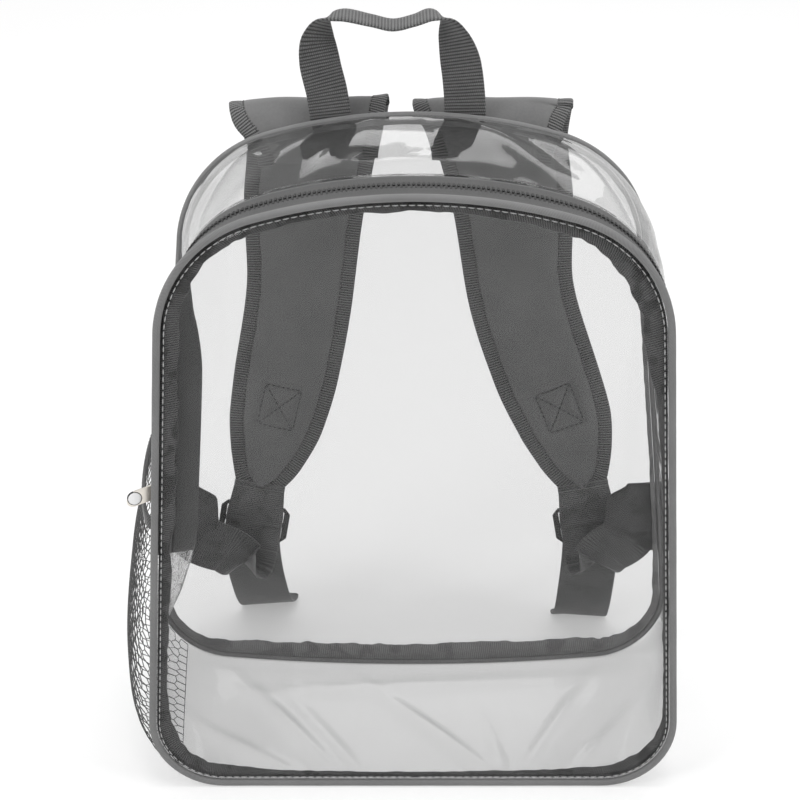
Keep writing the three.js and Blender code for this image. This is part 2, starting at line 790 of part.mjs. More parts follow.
/** One strap's centre line: its length, and the frame and outline at a distance along it. */
function strapLine(side) {
  const centres = PAD_ROWS.map((row) => point(
    row[side] * HALF_WIDTH,
    BAG_DEPTH / 2 + row.back * PAD_ROOM,
    row.up * BAG_HEIGHT + PIPING_RADIUS,
  ));
  const path = new THREE.CatmullRomCurve3(centres, false, 'centripetal');
  const finer = 20;
  const runs = path.getLengths(finer * (PAD_ROWS.length - 1));
  const rows = PAD_ROWS.map((row, index) => ({ ...row, run: runs[finer * index] }));
  const length = path.getLength();
  return {
    length,
    at: (run) => {
      const share = clamp(run / length, 0, 1);
      const along = path.getTangentAt(share).normalize();
      const normal = point(1, 0, 0).cross(along).normalize();
      return {
        centre: path.getPointAt(share),
        along,
        normal,
        wide: along.clone().cross(normal).normalize(),
        half: (between(rows, 'run', run, 'width') * PAD_WIDTH) / 2,
        thick: between(rows, 'run', run, 'thick') * PAD_THICKNESS,
      };
    },
  };
}

/** Points of one edge of the strap's flat outline, set in from it: distance along and half width. */
function strapEdge(line, inset) {
  const count = 20;
  const edge = [];
  for (let i = 0; i <= count; i += 1) {
    const run = (line.length * i) / count;
    edge.push(new THREE.Vector2(run, line.at(run).half));
  }
  return edge.map((place, index) => {
    const before = edge[Math.max(index - 1, 0)];
    const after = edge[Math.min(index + 1, count)];
    const slope = after.clone().sub(before).normalize();
    const inwards = new THREE.Vector2(slope.y, -slope.x);
    if (index === 0) {
      inwards.set(0, -1);
    }
    if (index === count) {
      inwards.x -= 1;
      inwards.divideScalar(1 + Math.abs(slope.y));
    }
    return place.clone().addScaledVector(inwards, inset);
  });
}

/** A point of a strap in its own frame: distance along, across, and out of its middle plane. */
function strapPoint(line, run, across, offset) {
  const station = line.at(run);
  return station.centre.clone()
    .addScaledVector(station.wide, across)
    .addScaledVector(station.normal, offset);
}

/** The padded part of a strap, with thin edges under the tape. */
function strapPad(side) {
  const line = strapLine(side);
  const across = [-1, -0.84, 0, 0.84, 1];
  const rings = strapEdge(line, STRAP_TAPE_WIDTH + GAP).map(({ x: run, y: half }) => {
    const thick = Math.max(line.at(run).thick, PAD_EDGE);
    const height = (share) => (Math.abs(share) === 1 ? PAD_EDGE : thick) / 2;
    const top = across.map((share) => strapPoint(line, run, share * half, height(share)));
    const bottom = across.map((share) => strapPoint(line, run, share * half, -height(share)));
    return [...top, ...bottom.reverse()];
  });
  return shell(rings);
}

/** The ribbed tape round a pad's two long edges and its lower end. */
function strapBinding(side) {
  const line = strapLine(side);
  const outer = strapEdge(line, 0);
  const inner = strapEdge(line, STRAP_TAPE_WIDTH);
  const ringAt = (index, sign) => {
    const out = outer[index];
    const into = inner[index];
    return [
      strapPoint(line, out.x, sign * out.y, PAD_EDGE / 2),
      strapPoint(line, into.x, sign * into.y, PAD_EDGE / 2),
      strapPoint(line, into.x, sign * into.y, -PAD_EDGE / 2),
      strapPoint(line, out.x, sign * out.y, -PAD_EDGE / 2),
    ];
  };
  const left = outer.map((_, index) => ringAt(index, -1));
  const right = outer.map((_, index) => ringAt(index, 1)).reverse();
  return shell([...left, ...right]);
}

const LOCK_TURN = LOCK_BAR * Math.SQRT1_2 + GAP + WEBBING_THICKNESS / 2;
const LOCK_PITCH = 2 * LOCK_TURN + WEBBING_THICKNESS + LOCK_CLEAR;

/** The frame below a pad's end: down along the strap, across, and out of its plane. */
function endFrame(side) {
  const line = strapLine(side);
  const end = line.at(line.length);
  const topBar = LOOP_FREE;
  return {
    ...end,
    topBar,
    middleBar: topBar + LOCK_PITCH,
    lowBar: topBar + 2 * LOCK_PITCH,
    place: (down, across, offset) => end.centre.clone()
      .addScaledVector(end.along, down)
      .addScaledVector(end.wide, across)
      .addScaledVector(end.normal, offset),
  };
}

/** Half a turn of webbing over a bar, from one side of it to the other. */
function turnStations(frame, bar, width, over) {
  const steps = 6;
  const stations = [];
  for (let i = 0; i <= steps; i += 1) {
    const angle = (Math.PI * i) / steps;
    const down = bar - over * LOCK_TURN * Math.sin(angle);
    stations.push({
      centre: frame.place(down, 0, -LOCK_TURN * Math.cos(angle)),
      wide: frame.wide,
      width,
    });
  }
  return stations;
}

/** The webbing loop that ties the pad's end to the top bar of its lock. */
function strapLoop(side) {
  const frame = endFrame(side);
  const leg = (down, offset) => ({
    centre: frame.place(down, 0, offset),
    wide: frame.wide,
    width: LOOP_WIDTH,
  });
  const near = PAD_EDGE / 2 + GAP + WEBBING_THICKNESS / 2;
  return ribbon([
    leg(-LOOP_SEWN, -near),
    leg(PAD_END_GAP, -near),
    ...turnStations(frame, frame.topBar, LOOP_WIDTH, -1),
    leg(PAD_END_GAP, near),
    leg(-LOOP_SEWN, near),
  ], WEBBING_THICKNESS);
}

/** A plain ladder lock: a rim with three bars, of one thickness. */
function ladderLock(side) {
  const frame = endFrame(side);
  const windowHalf = WEBBING_WIDTH / 2 + GAP;
  const rim = windowHalf + LOCK_RIM;
  const top = frame.topBar - LOCK_BAR / 2;
  const bottom = frame.lowBar + LOCK_BAR / 2;
  const shape = new THREE.Shape();
  shape.moveTo(-rim + LOCK_RIM, top);
  shape.lineTo(rim - LOCK_RIM, top);
  shape.lineTo(rim, top + LOCK_RIM);
  shape.lineTo(rim, bottom - LOCK_RIM);
  shape.lineTo(rim - LOCK_RIM, bottom);
  shape.lineTo(-rim + LOCK_RIM, bottom);
  shape.lineTo(-rim, bottom - LOCK_RIM);
  shape.lineTo(-rim, top + LOCK_RIM);
  for (const bar of [frame.topBar, frame.middleBar]) {
    const from = bar + LOCK_BAR / 2;
    const to = bar + LOCK_PITCH - LOCK_BAR / 2;
    const window = new THREE.Path();
    window.moveTo(-windowHalf, from);
    window.lineTo(-windowHalf, to);
    window.lineTo(windowHalf, to);
    window.lineTo(windowHalf, from);
    shape.holes.push(window);
  }
  const geometry = new THREE.ExtrudeGeometry(shape, { depth: LOCK_BAR, bevelEnabled: false });
  geometry.translate(0, 0, -LOCK_BAR / 2);
  const basis = new THREE.Matrix4().makeBasis(frame.wide, frame.along, frame.normal);
  basis.setPosition(frame.centre);
  return geometry.applyMatrix4(basis);
}

const TAB_FROM = distanceAtHeight(TAB_UP + TAB_HEIGHT / 2);
const TAB_TO = distanceAtHeight(TAB_UP - TAB_HEIGHT / 2);

/** A point of a side tab: down 0 to 1 along the seam, in from the seam, behind its middle plane. */
function tabPoint(side, down, inwards, offset) {
  const distance = lerp(TAB_FROM, TAB_TO, down) * (side === 'left' ? -1 : 1);
  const seam = seamAt(distance);
  return seam.rear.clone()
    .addScaledVector(seam.out, -inwards)
    .add(point(0, SEAM_EDGE + TAB_THICKNESS / 2 + offset, 0));
}

/** The cloth tab that holds the lower webbing in the rear side seam. */
function sideTab(side) {
  const rows = [
    { down: 0, long: 0.55 },
    { down: 0.2, long: 0.95 },
    { down: 0.6, long: 1 },
    { down: 1, long: 0.3 },
  ];
  const half = TAB_THICKNESS / 2;
  const rings = rows.map(({ down, long }) => [
    tabPoint(side, down, 0, half),
    tabPoint(side, down, TAB_LENGTH * long, half),
    tabPoint(side, down, TAB_LENGTH * long, -half),
    tabPoint(side, down, 0, -half),
  ]);
  return shell(rings);
}

// The lower webbing's slack loop from its tab to its lock: over as a share of the way across, down
// of its drop, back of the way back, and turn of its tilt.
const LOWER_ROWS = [
  { over: 0.62, down: 0.8, back: 0.16, turn: 0.5 },
  { over: 0.9, down: 1, back: 0.52, turn: 0.15 },
];

// The free tail from its lock to the floor: down as a share of the height, back of its reach, over
// of its sideways drift and turn of its turn on the floor.
const TAIL_ROWS = [
  { down: 0.22, back: 0.06, over: 0.06, turn: 0 },
  { down: 0.55, back: 0.25, over: 0.3, turn: 0 },
  { down: 0.86, back: 0.52, over: 0.6, turn: 0 },
  { down: 0.975, back: 0.72, over: 0.8, turn: 0.3 },
  { down: 1, back: 0.88, over: 0.92, turn: 0.8 },
  { down: 1, back: 1, over: 1, turn: 1 },
];

const TAIL_LAY = {
  left: { reach: 56, drift: 9, turn: 0.6 },
  right: { reach: 34, drift: -4, turn: -0.4 },
};

/** Rows of the webbing where it is sewn to the back of its tab, and of its slack loop. */
function lowerRows(side, entry) {
  const sign = side === 'left' ? -1 : 1;
  const onTab = TAB_THICKNESS / 2 + GAP + WEBBING_THICKNESS / 2;
  const start = tabPoint(side, 0.34, TAB_LENGTH * 0.42, onTab);
  const leaving = tabPoint(side, 0.8, TAB_LENGTH * 0.6, onTab);
  const seamwards = tabPoint(side, 0.8, 0, 0).sub(tabPoint(side, 0.34, 0, 0)).normalize();
  const inwards = tabPoint(side, 0.5, TAB_LENGTH, 0).sub(tabPoint(side, 0.5, 0, 0)).normalize();
  const sewn = inwards.multiplyScalar(Math.cos(LOWER_TILT))
    .addScaledVector(seamwards, -Math.sin(LOWER_TILT))
    .multiplyScalar(-sign);
  const loop = LOWER_ROWS.map((row) => {
    const tilt = row.turn * LOWER_TILT;
    return {
      centre: point(
        lerp(leaving.x, entry.x, row.over),
        lerp(leaving.y, entry.y, row.back),
        start.z - row.down * LOWER_DROP,
      ),
      wide: point(Math.cos(tilt), 0, -sign * Math.sin(tilt)),
      width: WEBBING_WIDTH,
    };
  });
  return [
    { centre: start, wide: sewn, width: WEBBING_WIDTH },
    { centre: leaving, wide: sewn, width: WEBBING_WIDTH },
    ...loop,
  ];
}

/** Rows of the free tail from the lock down to the floor. */
function tailRows(side, exit) {
  const lay = TAIL_LAY[side];
  const floor = TAIL_HEM_LAYERS * WEBBING_THICKNESS / 2 + 2 * GAP;
  return TAIL_ROWS.map((row) => ({
    centre: point(
      exit.x + row.over * lay.drift,
      exit.y + row.back * lay.reach,
      lerp(exit.z, floor, row.down),
    ),
    wide: point(Math.cos(row.turn * lay.turn), Math.sin(row.turn * lay.turn), 0),
    width: WEBBING_WIDTH,
  }));
}

/** One strap's lower webbing: from the side tab up through the lock and down again to the floor. */
function strapWebbing(side) {
  const frame = endFrame(side);
  const entry = frame.place(frame.lowBar + LOCK_PITCH / 2, 0, -LOCK_TURN);
  const exit = frame.place(frame.lowBar + LOCK_PITCH / 4, 0, LOCK_TURN);
  const inLock = { centre: entry, wide: frame.wide, width: WEBBING_WIDTH };
  const leaving = { centre: exit, wide: frame.wide, width: WEBBING_WIDTH };
  const stations = [
    ...smoothStations([...lowerRows(side, entry), inLock], 9),
    ...turnStations(frame, frame.middleBar, WEBBING_WIDTH, 1),
    ...smoothStations([leaving, ...tailRows(side, exit)], 10),
  ];
  for (const station of stations.slice(-2)) {
    station.thick = TAIL_HEM_LAYERS;
  }
  return ribbon(stations, WEBBING_THICKNESS);
}

// Zip slider and its pull tab

/** A solid for joining and cutting, from a geometry with its shared corners merged. */
function solid(geometry) {
  const bare = geometry.clone();
  bare.deleteAttribute('normal');
  bare.deleteAttribute('uv');
  const merged = mergeVertices(bare, 1e-4);
  return new wasm.Manifold(new wasm.Mesh({
    numProp: 3,
    vertProperties: new Float32Array(merged.attributes.position.array),
    triVerts: new Uint32Array(merged.index.array),
  }));
}

/** A geometry from a joined solid. */
function geometryOf(body) {
  const mesh = body.getMesh();
  const geometry = new THREE.BufferGeometry();
  geometry.setAttribute('position', new THREE.BufferAttribute(new Float32Array(mesh.vertProperties), 3));
  geometry.setIndex(new THREE.BufferAttribute(new Uint32Array(mesh.triVerts), 1));
  geometry.computeVertexNormals();
  return geometry;
}

/** The slider's frame on the left side of the zip: up the zip, across it, and out of it. */
function sliderFrame() {
  const seam = seamAt(-distanceAtHeight(SLIDER_HEIGHT));
  const reach = stripReach(seam);
  const middle = (COIL_FROM + COIL_TO) / 2 / reach;
  const side = ZIP_COIL_THICKNESS / 2 / reach;
  const across = gussetPoint(seam, middle + side, 0).sub(gussetPoint(seam, middle - side, 0)).normalize();
  const centre = gussetPoint(seam, middle, 0);
  const out = gussetPoint(seam, middle, 1).sub(centre).normalize();
  const up = across.clone().cross(out).normalize();
  const place = centre.addScaledVector(out, ZIP_COIL_THICKNESS / 2 + GAP);
  return new THREE.Matrix4().makeBasis(up, across, out).setPosition(place);
}

const HINGE_UP = SLIDER_PLATE + Math.hypot(PULL_THICKNESS, PULL_WEB) / 2 + GAP;
const BAR_UNDER = HINGE_UP + Math.hypot(PULL_THICKNESS, PULL_WEB) / 2 + GAP;

/** The slider: a plate with a bridge across it. */
function zipSlider() {
  const box = (long, wide, high, across, up) => {
    const geometry = new THREE.BoxGeometry(long, wide, high);
    return solid(geometry.translate(0, across, up));
  };
  const overlap = 0.2;
  const post = BAR_UNDER + BRIDGE_BAR - SLIDER_PLATE + overlap;
  const postUp = SLIDER_PLATE - overlap + post / 2;
  const aside = (BRIDGE_SPAN - BRIDGE_BAR) / 2;
  const plate = box(SLIDER_LENGTH, SLIDER_WIDTH, SLIDER_PLATE, 0, SLIDER_PLATE / 2);
  const bar = box(BRIDGE_WIDTH, BRIDGE_SPAN, BRIDGE_BAR, 0, BAR_UNDER + BRIDGE_BAR / 2);
  const near = box(BRIDGE_WIDTH, BRIDGE_BAR, post, -aside, postUp);
  const far = box(BRIDGE_WIDTH, BRIDGE_BAR, post, aside, postUp);
  return geometryOf(plate.add(near).add(far).add(bar)).applyMatrix4(sliderFrame());
}

/** The pull tab: a flat plate with an eye round the bridge, pointing out past the piping. */
function zipPull() {
  const eyeHalf = BRIDGE_WIDTH / 2 + 2 * GAP;
  const corner = Math.hypot(BRIDGE_SPAN / 2, BAR_UNDER + BRIDGE_BAR - HINGE_UP);
  const eyeEnd = corner + GAP;
  const neck = eyeEnd + PULL_WEB;
  const half = PULL_WIDTH / 2;
  const round = PULL_LENGTH - half;
  const turned = (x, y) => {
    const away = Math.max(x - neck, 0);
    const drop = away * Math.sin(PULL_DROOP);
    return new THREE.Vector2(y - drop, -Math.min(x, neck) - away * Math.cos(PULL_DROOP));
  };
  const outline = [turned(-PULL_WEB / 2, -half * 0.7), turned(neck, -half), turned(round, -half)];
  const steps = 8;
  for (let i = 1; i < steps; i += 1) {
    const angle = (Math.PI * i) / steps;
    outline.push(turned(round + half * Math.sin(angle), -half * Math.cos(angle)));
  }
  outline.push(turned(round, half), turned(neck, half), turned(-PULL_WEB / 2, half * 0.7));
  const shape = new THREE.Shape(outline);
  const eye = [
    turned(PULL_WEB / 2, -eyeHalf),
    turned(PULL_WEB / 2, eyeHalf),
    turned(eyeEnd, eyeHalf),
    turned(eyeEnd, -eyeHalf),
  ];
  shape.holes.push(new THREE.Path(eye));
  const geometry = new THREE.ExtrudeGeometry(shape, { depth: PULL_THICKNESS, bevelEnabled: false });
  geometry.translate(0, 0, HINGE_UP - PULL_THICKNESS / 2);
  return geometry.applyMatrix4(sliderFrame());
}

// Materials and assembly

const finish = (color, roughness, metalness = 0, opacity = 1) => new THREE.MeshStandardMaterial({
  color,
  roughness,
  metalness,
  opacity,
  transparent: opacity < 1,
});
const CLEAR = finish(0xf2f5f5, 0.08, 0, 0.2);
const PIPING_CLOTH = finish(0x77777a, 0.7);
const TWILL = finish(0x55565a, 0.85);
const COIL = finish(0x3c3d40, 0.5);
const SILVER = finish(0xc9c5bd, 0.3, 1);
const NET = finish(0x2a2a2c, 0.8);
const WEBBING = finish(0x5f6064, 0.85);
const PAD_CLOTH = finish(0x5c5d60, 0.8);
const HARD_PLASTIC = finish(0x303032, 0.45);

const model = new THREE.Group();

function addPiece(name, geometry, material) {
  const mesh = new THREE.Mesh(geometry, material);
  mesh.name = name;
  model.add(mesh);
}

addPiece('front_panel', panel('front'), CLEAR);
addPiece('rear_panel', panel('rear'), CLEAR);
addPiece('top_gusset', topGusset(), CLEAR);
addPiece('base_gusset', baseGusset(), CLEAR);
addPiece('front_piping', piping((seam) => seam.front), PIPING_CLOTH);
addPiece('rear_piping', piping((seam) => seam.rear), PIPING_CLOTH);
addPiece('front_binding', binding('front'), TWILL);
addPiece('rear_binding', binding('rear'), TWILL);
addPiece('zipper_tape_front', zipTapeFront(), TWILL);
addPiece('zipper_tape_rear', zipTapeRear(), TWILL);
addPiece('zipper_coil', zipCoil(), COIL);
addPiece('zip_slider', zipSlider(), SILVER);
addPiece('zip_pull', zipPull(), SILVER);
addPiece('mesh_pocket', netPocket(), NET);
addPiece('pocket_hem', pocketHem(), TWILL);
addPiece('grab_handle', grabHandle(), WEBBING);
for (const side of ['left', 'right']) {
  addPiece(`strap_pad_${side}`, strapPad(side), PAD_CLOTH);
  addPiece(`strap_binding_${side}`, strapBinding(side), WEBBING);
  addPiece(`strap_loop_${side}`, strapLoop(side), WEBBING);
  addPiece(`ladder_lock_${side}`, ladderLock(side), HARD_PLASTIC);
  addPiece(`strap_webbing_${side}`, strapWebbing(side), WEBBING);
  addPiece(`side_tab_${side}`, sideTab(side), TWILL);
}

export default model;
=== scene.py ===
"""The looks of a clear vinyl backpack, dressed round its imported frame.

Every piece is in metres in the frame's own axes: X to the right of the front panel, Y from the
front panel towards the shoulder straps, and Z up from the floor.
"""

from __future__ import annotations

import json
import logging
import math
from dataclasses import dataclass, field
from enum import Enum
from typing import Callable, Sequence

import bmesh
import bpy
import numpy as np
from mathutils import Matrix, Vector, noise

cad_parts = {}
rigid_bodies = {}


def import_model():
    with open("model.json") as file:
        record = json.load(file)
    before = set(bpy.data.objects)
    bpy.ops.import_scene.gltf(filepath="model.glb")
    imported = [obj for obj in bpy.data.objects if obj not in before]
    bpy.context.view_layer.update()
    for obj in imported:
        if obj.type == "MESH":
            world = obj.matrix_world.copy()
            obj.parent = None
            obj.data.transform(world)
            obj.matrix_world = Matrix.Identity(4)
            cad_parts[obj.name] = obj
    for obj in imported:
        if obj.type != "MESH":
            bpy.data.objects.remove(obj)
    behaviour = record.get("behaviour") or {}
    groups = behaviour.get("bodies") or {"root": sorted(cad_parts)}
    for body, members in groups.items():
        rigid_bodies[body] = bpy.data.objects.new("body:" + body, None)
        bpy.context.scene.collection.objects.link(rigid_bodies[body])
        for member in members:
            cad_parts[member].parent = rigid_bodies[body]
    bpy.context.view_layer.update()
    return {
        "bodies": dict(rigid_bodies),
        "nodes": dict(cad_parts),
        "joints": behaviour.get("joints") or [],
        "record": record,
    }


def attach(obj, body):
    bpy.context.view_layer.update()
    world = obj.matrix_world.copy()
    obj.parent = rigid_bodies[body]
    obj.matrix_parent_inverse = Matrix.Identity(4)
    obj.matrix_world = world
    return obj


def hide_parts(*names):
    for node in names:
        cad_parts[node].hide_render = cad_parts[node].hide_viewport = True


log = logging.getLogger("backpack")

MM = 0.001
WEAVE_MAP = "weave"


class Side(Enum):
    """A side of the bag, as a viewer in front of it sees it."""

    LEFT = -1
    RIGHT = 1

    @property
    def word(self) -> str:
        """The side's name in the frame's node names."""
        return self.name.lower()


class Seam(Enum):
    """One of the two piped seams, with the way its panel faces along Y."""

    FRONT = -1
    REAR = 1

    @property
    def word(self) -> str:
        """The seam's name in the frame's node names."""
        return self.name.lower()


class Slot(Enum):
    """The record's material slots."""

    SHEET = "clear_sheet"
    PIPING = "piping_cloth"
    TWILL = "seam_twill"
    ZIP_TAPE = "zip_tape"
    COIL = "zip_coil"
    SILVER = "silver_metal"
    NET = "net_mesh"
    WEBBING = "webbing"
    PAD = "pad_cloth"
    EDGE_TAPE = "edge_tape"
    LOCK = "lock_plastic"


# Small shared geometry


def unit(vector: np.ndarray) -> np.ndarray:
    """A vector's direction, with length one."""
    return vector / max(float(np.linalg.norm(vector)), 1e-12)


def spot(x: float, y: float, z: float) -> np.ndarray:
    """A point or a direction."""
    return np.array((x, y, z), float)


def mixed(start: float, end: float, share: float) -> float:
    """A value a share of the way from a start to an end."""
    return start + (end - start) * share


def clamped(value: float, low: float = 0.0, high: float = 1.0) -> float:
    """A value held between two limits."""
    return max(low, min(high, value))


@dataclass(frozen=True)
class Table:
    """Named columns along a key, joined by a smooth curve that doesn't overshoot its rows."""

    key: str
    rows: tuple[dict[str, float], ...]

    def at(self, column: str, place: float) -> float:
        """Reads a column at a place along the key.

        Args:
            column: The column's name.
            place: The place along the key column.

        Returns:
            The value there.
        """
        rows = self.rows
        index = 0
        while index < len(rows) - 2 and place > rows[index + 1][self.key]:
            index += 1
        low, high = rows[index], rows[index + 1]
        span = high[self.key] - low[self.key]
        t = clamped((place - low[self.key]) / span)
        from_value, to_value = low[column], high[column]
        bends = span * self._tangent(column, index), span * self._tangent(column, index + 1)
        return (
            (1 + 2 * t) * (1 - t) ** 2 * from_value
            + t * t * (3 - 2 * t) * to_value
            + t * (1 - t) ** 2 * bends[0]
            + t * t * (t - 1) * bends[1]
        )

    def _slope(self, column: str, index: int) -> float:
        """The straight slope between a row and the next."""
        low, high = self.rows[index], self.rows[index + 1]
        return (high[column] - low[column]) / (high[self.key] - low[self.key])

    def _tangent(self, column: str, index: int) -> float:
        """The curve's slope at a row, flat at both ends and at each peak."""
        if index in (0, len(self.rows) - 1):
            return 0.0
        before, after = self._slope(column, index - 1), self._slope(column, index)
        return 2 * before * after / (before + after) if before * after > 0 else 0.0


class SmoothPath:
    """A centripetal curve through points, walked by its length."""

    def __init__(self, points: Sequence[np.ndarray], finer: int = 40) -> None:
        """Samples the curve.

        Args:
            points: The points that the curve passes through.
            finer: Samples for each span between two points.
        """
        self.points = [np.asarray(p, float) for p in points]
        self.finer = finer
        count = finer * (len(points) - 1)
        self.samples = np.array([self.by_row(i / finer) for i in range(count + 1)])
        steps = np.linalg.norm(np.diff(self.samples, axis=0), axis=1)
        self.runs = np.concatenate(([0.0], np.cumsum(steps)))
        self.length = float(self.runs[-1])

    def by_row(self, place: float) -> np.ndarray:
        """A point at a place counted in rows, such as 1.5 for midway from the second to the third."""
        index = min(int(place), len(self.points) - 2)
        share = place - index
        p1, p2 = self.points[index], self.points[index + 1]
        p0 = self.points[index - 1] if index > 0 else 2 * p1 - p2
        p3 = self.points[index + 2] if index + 2 < len(self.points) else 2 * p2 - p1
        d0, d1, d2 = (math.sqrt(float(np.linalg.norm(b - a))) for a, b in ((p0, p1), (p1, p2), (p2, p3)))
        leave = ((p1 - p0) / d0 - (p2 - p0) / (d0 + d1) + (p2 - p1) / d1) * d1
        arrive = ((p2 - p1) / d1 - (p3 - p1) / (d1 + d2) + (p3 - p2) / d2) * d1
        cube = 2 * p1 - 2 * p2 + leave + arrive
        square = -3 * p1 + 3 * p2 - 2 * leave - arrive
        return ((cube * share + square) * share + leave) * share + p1

    def row_run(self, index: int) -> float:
        """The length of the curve up to a row."""
        return float(self.runs[index * self.finer])

    def at(self, run: float) -> np.ndarray:
        """The point at a length along the curve."""
        return np.array([np.interp(run, self.runs, self.samples[:, axis]) for axis in range(3)])

    def along(self, run: float) -> np.ndarray:
        """The direction of travel at a length along the curve."""
        step = self.length / 400
        return unit(self.at(min(run + step, self.length)) - self.at(max(run - step, 0)))


@dataclass(frozen=True)
class Ripple:
    """A soft ridge in a sheet: where it is, which way it runs, and how large it is."""

    across: float
    along: float
    turn: float
    length: float
    width: float
    height: float

    def lift(self, across: float, along: float) -> float:
        """The ridge's height at a place on the sheet."""
        angle = math.radians(self.turn)
        dx, dy = across - self.across, along - self.along
        down = dx * math.cos(angle) + dy * math.sin(angle)
        aside = -dx * math.sin(angle) + dy * math.cos(angle)
        return self.height * math.exp(-((down / self.length) ** 2) - (aside / self.width) ** 2)


def lifted(ripples: Sequence[Ripple], across: float, along: float) -> float:
    """The height of a sheet's ripples together at a place."""
    return sum(ripple.lift(across, along) for ripple in ripples)


def swirl(place: np.ndarray, size: float, seed: float) -> float:
    """Smooth noise from -1 to 1 with features of a size, the same in every run."""
    return noise.noise(Vector(place / size) + Vector((seed, 2 * seed, 3 * seed)))


def object_of(
    name: str,
    corners: Sequence[np.ndarray] | np.ndarray,
    faces: Sequence[Sequence[int]],
    weave: Sequence[Sequence[tuple[float, float]]] | None = None,
    smooth: bool = True,
) -> bpy.types.Object:
    """Makes an object from corners and faces.

    Args:
        name: The object's name.
        corners: Its points.
        faces: The corner numbers of each face.
        weave: For each face, each corner's place on the cloth in metres.
        smooth: Whether the faces are shaded smooth.

    Returns:
        The object, linked to the scene.
    """
    mesh = bpy.data.meshes.new(name)
    mesh.from_pydata([tuple(map(float, corner)) for corner in corners], [], [tuple(f) for f in faces])
    if weave is not None:
        layer = mesh.uv_layers.new(name=WEAVE_MAP)
        flat = [value for face in weave for place in face for value in place]
        layer.data.foreach_set("uv", flat)
    mesh.validate()
    tidy = bmesh.new()
    tidy.from_mesh(mesh)
    bmesh.ops.recalc_face_normals(tidy, faces=tidy.faces)
    tidy.to_mesh(mesh)
    tidy.free()
    mesh.polygons.foreach_set("use_smooth", [smooth] * len(mesh.polygons))
    made = bpy.data.objects.new(name, mesh)
    bpy.context.scene.collection.objects.link(made)
    return made


@dataclass
class Loft:
    """Rings of points joined into a skin, with a weave map in metres along and round them.

    Attributes:
        rings: Points as rings along the piece, by places round each ring.
        loop_along: Whether the last ring joins the first.
        loop_round: Whether each ring closes on itself.
        capped: Whether the two end rings are closed.
    """

    rings: np.ndarray
    loop_along: bool = False
    loop_round: bool = True
    capped: bool = True

    def build(self, name: str, smooth: bool = True) -> bpy.types.Object:
        """Makes the skin.

        Args:
            name: The object's name.
            smooth: Whether the faces are shaded smooth.

        Returns:
            The object.
        """
        rings = np.asarray(self.rings, float)
        count, size = rings.shape[:2]
        middle = rings.mean(axis=1)
        steps = np.linalg.norm(np.diff(middle, axis=0, append=middle[:1]), axis=1)
        along = np.concatenate(([0.0], np.cumsum(steps)))
        widest = rings[count // 2]
        turns = np.linalg.norm(np.diff(widest, axis=0, append=widest[:1]), axis=1)
        around = np.concatenate(([0.0], np.cumsum(turns)))
        faces, weave = [], []
        for k in range(count if self.loop_along else count - 1):
            for i in range(size if self.loop_round else size - 1):
                here, after = k * size, ((k + 1) % count) * size
                j = (i + 1) % size
                faces.append((here + i, here + j, after + j, after + i))
                left, right = around[i], around[i + 1]
                weave.append([(along[k], left), (along[k], right), (along[k + 1], right), (along[k + 1], left)])
        if self.capped and self.loop_round and not self.loop_along:
            for k in (0, count - 1):
                ring = [k * size + i for i in range(size)]
                faces.append(ring)
                weave.append([(along[k], around[i]) for i in range(size)])
        return object_of(name, rings.reshape(-1, 3), faces, weave, smooth)


def modified(piece: bpy.types.Object, kind: str, **settings: object) -> bpy.types.Modifier:
    """Adds a modifier with its settings.

    Args:
        piece: The object that takes it.
        kind: The modifier's type.
        **settings: Its properties by name.

    Returns:
        The modifier.
    """
    made = piece.modifiers.new(kind.title(), kind)
    for name, value in settings.items():
        setattr(made, name, value)
    return made


def thickened(piece: bpy.types.Object, thickness: float) -> bpy.types.Object:
    """Gives an open sheet its wall, half to each side."""
    modified(piece, "SOLIDIFY", thickness=thickness, offset=0.0, use_even_offset=False)
    return piece


def joined(name: str, pieces: Sequence[bpy.types.Object]) -> bpy.types.Object:
    """Joins objects with no modifiers into one piece.

    Args:
        name: The joined piece's name.
        pieces: The objects, which are used up.

    Returns:
        The joined piece.
    """
    merged = bmesh.new()
    for piece in pieces:
        merged.from_mesh(piece.data)
        bpy.data.objects.remove(piece)
    mesh = bpy.data.meshes.new(name)
    merged.to_mesh(mesh)
    merged.free()
    made = bpy.data.objects.new(name, mesh)
    bpy.context.scene.collection.objects.link(made)
    return made


